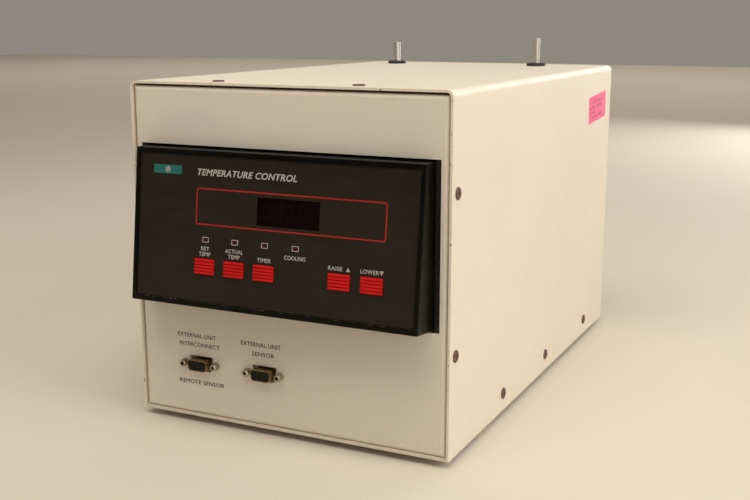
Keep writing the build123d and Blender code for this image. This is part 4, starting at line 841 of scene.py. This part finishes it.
# a blank rating plate with ruled rows between the fan and the mains entry
PLATE = (-34.5 * MM, 108 * MM)
PLATE_W, PLATE_L, PLATE_R = 30 * MM, 42 * MM, 2 * MM
PLATE_LOW, PLATE_T = 0.02 * MM, 0.3 * MM
BORDER_OUTER = (27.4 * MM, 39.4 * MM, 1.2 * MM)     # width, length and corner radius
BORDER_INNER = (26.8 * MM, 38.8 * MM, 0.9 * MM)
PLATE_RULES, RULE_FIRST, RULE_PITCH = 6, 9.0, 4.4
PLATE_RULE_HALF, PLATE_RULE_W = 10.5 * MM, 0.28 * MM
RIVET_X, RIVET_UP = 12.6 * MM, 18.6 * MM
RIVET_STEPS = [(1.3, 0.0, 0.35), (1.05, 0.35, 0.6), (0.6, 0.6, 0.75)]   # radius, low, high
made = bmesh.new()
add_prism(made, rounded(PLATE_W, PLATE_L, PLATE_R, 6, PLATE), PLATE_LOW, PLATE_T)
add_piece("rating_plate", made, plate_foil, REAR)
made = bmesh.new()
outer, inner = rounded(*BORDER_OUTER, 6, PLATE), rounded(*BORDER_INNER, 6, PLATE)
add_prism(made, outer, PLATE_T + INK_LOW, PLATE_T + INK, [inner])
for row in range(PLATE_RULES):
    height = PLATE[1] + (RULE_FIRST - RULE_PITCH * row) * MM
    ends = [(PLATE[0] + side * PLATE_RULE_HALF, height) for side in (-1, 1)]
    add_prism(made, bar(*ends, PLATE_RULE_W), PLATE_T + INK_LOW, PLATE_T + INK)
add_piece("rating_plate_rules", made, ink_black, REAR)
made = bmesh.new()
for i, j in ((-1, -1), (-1, 1), (1, -1), (1, 1)):
    spot = (PLATE[0] + i * RIVET_X, PLATE[1] + j * RIVET_UP)
    for radius, low, high in RIVET_STEPS:
        outline = circle(radius * MM, spot, 24)
        add_prism(made, outline, PLATE_T + low * MM, PLATE_T + high * MM)
piece = add_piece("rating_plate_rivets", made, bright_zinc, REAR)

# ---------------------------------------------------------------- fan rotor

FAN_MID = Vector(joint("fan_spin")["pos_m"])
FAN_PLACE = placement(FAN_MID, -X, Z)
fan_low, fan_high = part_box("fan_rotor")
SHAFT_LOW = fan_low.y - FAN_MID.y
HUB_LOW = SHAFT_LOW + 7.0 * MM
HUB_HIGH = fan_high.y - FAN_MID.y - 0.4 * MM
TIP_R = (fan_high.z - fan_low.z) / 2
HUB_R = 19.5 * MM
SHAFT_R = 1.5 * MM
BLADES = 7
BLADE_SUNK = 0.8 * MM                       # how far a blade's root reaches into the hub
CHORD_ROOT, CHORD_GAIN = 19.5, 7.0          # the chord at the hub, and its gain to the tip
CHORD_TRIM, TRIM_FROM = 3.5, 0.85           # its loss over the last part, for a rounded tip
PITCH_ROOT, PITCH_LOSS, SWEEP = 45, 17, 14  # degrees
SWEEP_POWER = 1.5
CAMBER = 0.05                               # as a share of the chord
EDGE_HALF, BELLY_HALF = 0.25, 0.55          # half the thickness at the edges, and its gain


def lathe(made, profile, steps=72):
    """A closed profile of (radius, height) turned round the local Z axis."""
    rings = []
    for radius, height in profile:
        if radius == 0:
            rings.append([made.verts.new((0, 0, height))])
            continue
        ring = circle(radius, steps=steps)
        rings.append([made.verts.new((x, y, height)) for x, y in ring])
    for first, second in zip(rings, rings[1:]):
        for i in range(steps):
            corners = [first[i % len(first)], first[(i + 1) % len(first)]]
            corners += [second[(i + 1) % len(second)], second[i % len(second)]]
            made.faces.new(list(dict.fromkeys(corners)))


def fan_blade(made, turn, rows=12, columns=10):
    """One cambered, twisted blade with a rounded section, closed all round."""
    layers = {1: [], -1: []}
    for row in range(rows + 1):
        share = row / rows
        radius = HUB_R - BLADE_SUNK + (TIP_R - HUB_R + BLADE_SUNK) * share
        trim = CHORD_TRIM * max(0.0, share - TRIM_FROM) / (1 - TRIM_FROM)
        chord = (CHORD_ROOT + CHORD_GAIN * share - trim) * MM
        pitch = math.radians(PITCH_ROOT - PITCH_LOSS * share)
        sweep = math.radians(SWEEP) * share ** SWEEP_POWER
        for side, layer in layers.items():
            line = []
            for column in range(columns + 1):
                s = column / columns - 0.5
                round_off = 1 - (2 * abs(s)) ** 4
                bow = CAMBER * chord * (1 - 4 * s * s)
                bow += side * (EDGE_HALF + BELLY_HALF * round_off) * MM
                tangent = s * chord * math.cos(pitch) - bow * math.sin(pitch)
                rise = s * chord * math.sin(pitch) + bow * math.cos(pitch)
                angle = turn + sweep + tangent / radius
                height = (HUB_LOW + HUB_HIGH) / 2 - rise
                spot = (radius * math.cos(angle), radius * math.sin(angle), height)
                line.append(made.verts.new(spot))
            layer.append(line)
    for layer in layers.values():
        for low, high in zip(layer, layer[1:]):
            for i in range(columns):
                made.faces.new((low[i], low[i + 1], high[i + 1], high[i]))
    over, under = layers[1], layers[-1]
    for row in (0, rows):
        for i in range(columns):
            made.faces.new((over[row][i], over[row][i + 1], under[row][i + 1], under[row][i]))
    for edge in (0, columns):
        for i in range(rows):
            made.faces.new((over[i][edge], over[i + 1][edge], under[i + 1][edge], under[i][edge]))


def soften(piece, angle=35):
    """Smooth shading, but for edges sharper than an angle."""
    for face in piece.data.polygons:
        face.use_smooth = True
    piece.data.set_sharp_from_angle(angle=math.radians(angle))


made = bmesh.new()
for number in range(BLADES):
    fan_blade(made, 2 * math.pi * number / BLADES)
# the hub as (radius, height): a round rim, a ring groove in its flat end and a centre dimple
GROOVE, DIMPLE = 0.5 * MM, 1.2 * MM
lathe(made, [
    (0, HUB_LOW), (HUB_R - 1 * MM, HUB_LOW), (HUB_R, HUB_LOW + 0.6 * MM),
    (HUB_R, HUB_HIGH - 1.5 * MM), (HUB_R - 0.45 * MM, HUB_HIGH - 0.45 * MM),
    (HUB_R - 1.5 * MM, HUB_HIGH), (15.6 * MM, HUB_HIGH), (15.3 * MM, HUB_HIGH - GROOVE),
    (13.2 * MM, HUB_HIGH - GROOVE), (12.9 * MM, HUB_HIGH), (3.4 * MM, HUB_HIGH),
    (2.6 * MM, HUB_HIGH - DIMPLE), (0, HUB_HIGH - DIMPLE),
])
shaft_top = HUB_LOW + 0.2 * MM
lathe(made, [(0, SHAFT_LOW), (SHAFT_R, SHAFT_LOW), (SHAFT_R, shaft_top), (0, shaft_top)], 24)
piece = add_piece("fan_blades", made, black_plastic, FAN_PLACE, "fan")
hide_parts("fan_rotor")
soften(piece)

# ---------------------------------------------------------------- tube grommets

COVER_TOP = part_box("wrap_cover")[1].z
GROMMET_LOW = (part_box("tube_grommets")[0].z - COVER_TOP) / MM
BORE_R, NECK_R, INNER_R = 3.00, 5.45, 7.8
SHEET_LOW = -1.2
SAME_POINT = 1e-7                   # metres
# a grommet as (radius, height above the cover), in millimetres: bore, domed rim, neck, inner rim
GROMMET = [
    (BORE_R, GROMMET_LOW), (BORE_R, 2.45), (3.25, 2.6), (6.9, 2.6), (7.5, 2.45), (7.95, 2.05),
    (8.2, 1.4), (8.3, 0.6), (8.2, 0.15), (7.9, 0.02), (NECK_R, 0.02), (NECK_R, SHEET_LOW),
    (INNER_R, SHEET_LOW), (INNER_R, GROMMET_LOW), (BORE_R, GROMMET_LOW),
]
made = bmesh.new()
for side in ("left", "right"):
    tube = middle(f"coolant_tube_{side}")
    ring = bmesh.new()
    lathe(ring, [(radius * MM, height * MM) for radius, height in GROMMET])
    bmesh.ops.remove_doubles(ring, verts=ring.verts, dist=SAME_POINT)
    bmesh.ops.translate(ring, verts=ring.verts, vec=(tube.x, tube.y, COVER_TOP))
    ring_mesh = bpy.data.meshes.new("ring")
    ring.to_mesh(ring_mesh)
    ring.free()
    made.from_mesh(ring_mesh)
    bpy.data.meshes.remove(ring_mesh)
piece = add_piece("grommet_rings", made, rubber_black)
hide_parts("tube_grommets")
soften(piece)

# ---------------------------------------------------------------- camera, lights and floor

FOCAL, SENSOR_W = 52.0, 36.0        # millimetres
CLIP_START = 0.01
CAMERA_PLACE = Vector((352.7, FRONT_Y / MM - 595.2, BASE_Z / MM + 273.2)) * MM
AZIMUTH, ELEVATION = math.radians(25.68), math.radians(12.05)

scene = bpy.context.scene
camera_data = bpy.data.cameras.new("camera")
camera_data.lens = FOCAL
camera_data.sensor_width = SENSOR_W
camera_data.clip_start = CLIP_START
camera = bpy.data.objects.new("camera", camera_data)
scene.collection.objects.link(camera)
camera.location = CAMERA_PLACE
camera.rotation_euler = (math.pi / 2 - ELEVATION, 0.0, AZIMUTH)
scene.camera = camera

ROOM_DIM = (0.035, 0.033, 0.030)
ROOM_PALE = (0.27, 0.245, 0.21)
MIRRORED = (-0.42, -0.90, 0.05)     # where the tilted face mirrors the camera to
FADE = (0.93, 0.45)                 # cosines to that direction where the room is dim and pale


def area_light(name, place, target, size, power, colour):
    """A rectangular soft light that points at a target."""
    data = bpy.data.lights.new(name, "AREA")
    data.shape = "RECTANGLE"
    data.size, data.size_y = size
    data.energy = power
    data.color = colour
    light = bpy.data.objects.new(name, data)
    scene.collection.objects.link(light)
    light.location = place
    light.rotation_euler = (Vector(target) - Vector(place)).to_track_quat("-Z", "Y").to_euler()


# name, place, target, size, watts and colour
for light_row in (
    ("overhead", (0.15, -0.75, 1.7), (0.0, -0.05, 0.1), (1.5, 1.1), 19.5, (1.0, 0.935, 0.82)),
    ("front_right", (1.15, -1.5, 0.75), (0.05, -0.1, 0.12), (0.5, 0.5), 2.4, (1.0, 0.97, 0.93)),
    ("key_right", (1.7, -0.35, 1.0), (0.05, 0.0, 0.12), (1.0, 1.2), 16.5, (1.0, 0.985, 0.98)),
    ("fill_left", (-1.5, -0.6, 1.0), (0.0, 0.0, 0.12), (1.0, 1.0), 2.5, (0.93, 0.96, 1.0)),
    ("far_floor", (-1.2, 4.4, 2.6), (-1.2, 4.4, 0.0), (7.0, 2.4), 62, (1.0, 0.95, 0.88)),
    ("back", (0.55, 2.0, 0.6), (0.0, 0.15, 0.12), (1.1, 0.8), 13, (1.0, 0.97, 0.93)),
):
    area_light(*light_row)

# the room: pale all round, but for the dim part that the tilted face mirrors
world = bpy.data.worlds.new("studio")
world.use_nodes = True
tree = world.node_tree
direction = tree.nodes.new("ShaderNodeTexCoord").outputs["Generated"]
facing = tree.nodes.new("ShaderNodeVectorMath")
facing.operation = "DOT_PRODUCT"
facing.inputs[1].default_value = MIRRORED
fade = tree.nodes.new("ShaderNodeMapRange")
fade.interpolation_type = "SMOOTHSTEP"
fade.inputs["From Min"].default_value, fade.inputs["From Max"].default_value = FADE
walls = tree.nodes.new("ShaderNodeMix")
walls.data_type = "RGBA"
dim, pale = [socket for socket in walls.inputs if socket.type == "RGBA"]
dim.default_value = (*ROOM_DIM, 1.0)
pale.default_value = (*ROOM_PALE, 1.0)
tree.links.new(direction, facing.inputs[0])
tree.links.new(facing.outputs["Value"], fade.inputs["Value"])
tree.links.new(fade.outputs[0], walls.inputs["Factor"])
mixed = next(socket for socket in walls.outputs if socket.type == "RGBA")
tree.links.new(mixed, tree.nodes["Background"].inputs["Color"])
scene.world = world
scene.view_settings.view_transform = "Standard"

FLOOR_REACH = 6.0
FLOOR_DARK, FLOOR_LIGHT = (0.67, 0.595, 0.50), (0.71, 0.635, 0.535)
made = bmesh.new()
bmesh.ops.create_grid(made, x_segments=8, y_segments=8, size=FLOOR_REACH)
floor_mesh = bpy.data.meshes.new("floor")
made.to_mesh(floor_mesh)
made.free()
floor = bpy.data.objects.new("floor", floor_mesh)
scene.collection.objects.link(floor)
floor_paper = Recipe("floor_paper", Roughness=0.8)
floor_tone = floor_paper.noise(1.2, 3)
floor_paper.colour(floor_paper.ramp(floor_tone, (0.3, FLOOR_DARK), (0.7, FLOOR_LIGHT)))
floor_paper.bump(floor_paper.noise(300, 4), 0.0001, 0.3)
floor_mesh.materials.append(floor_paper.material)
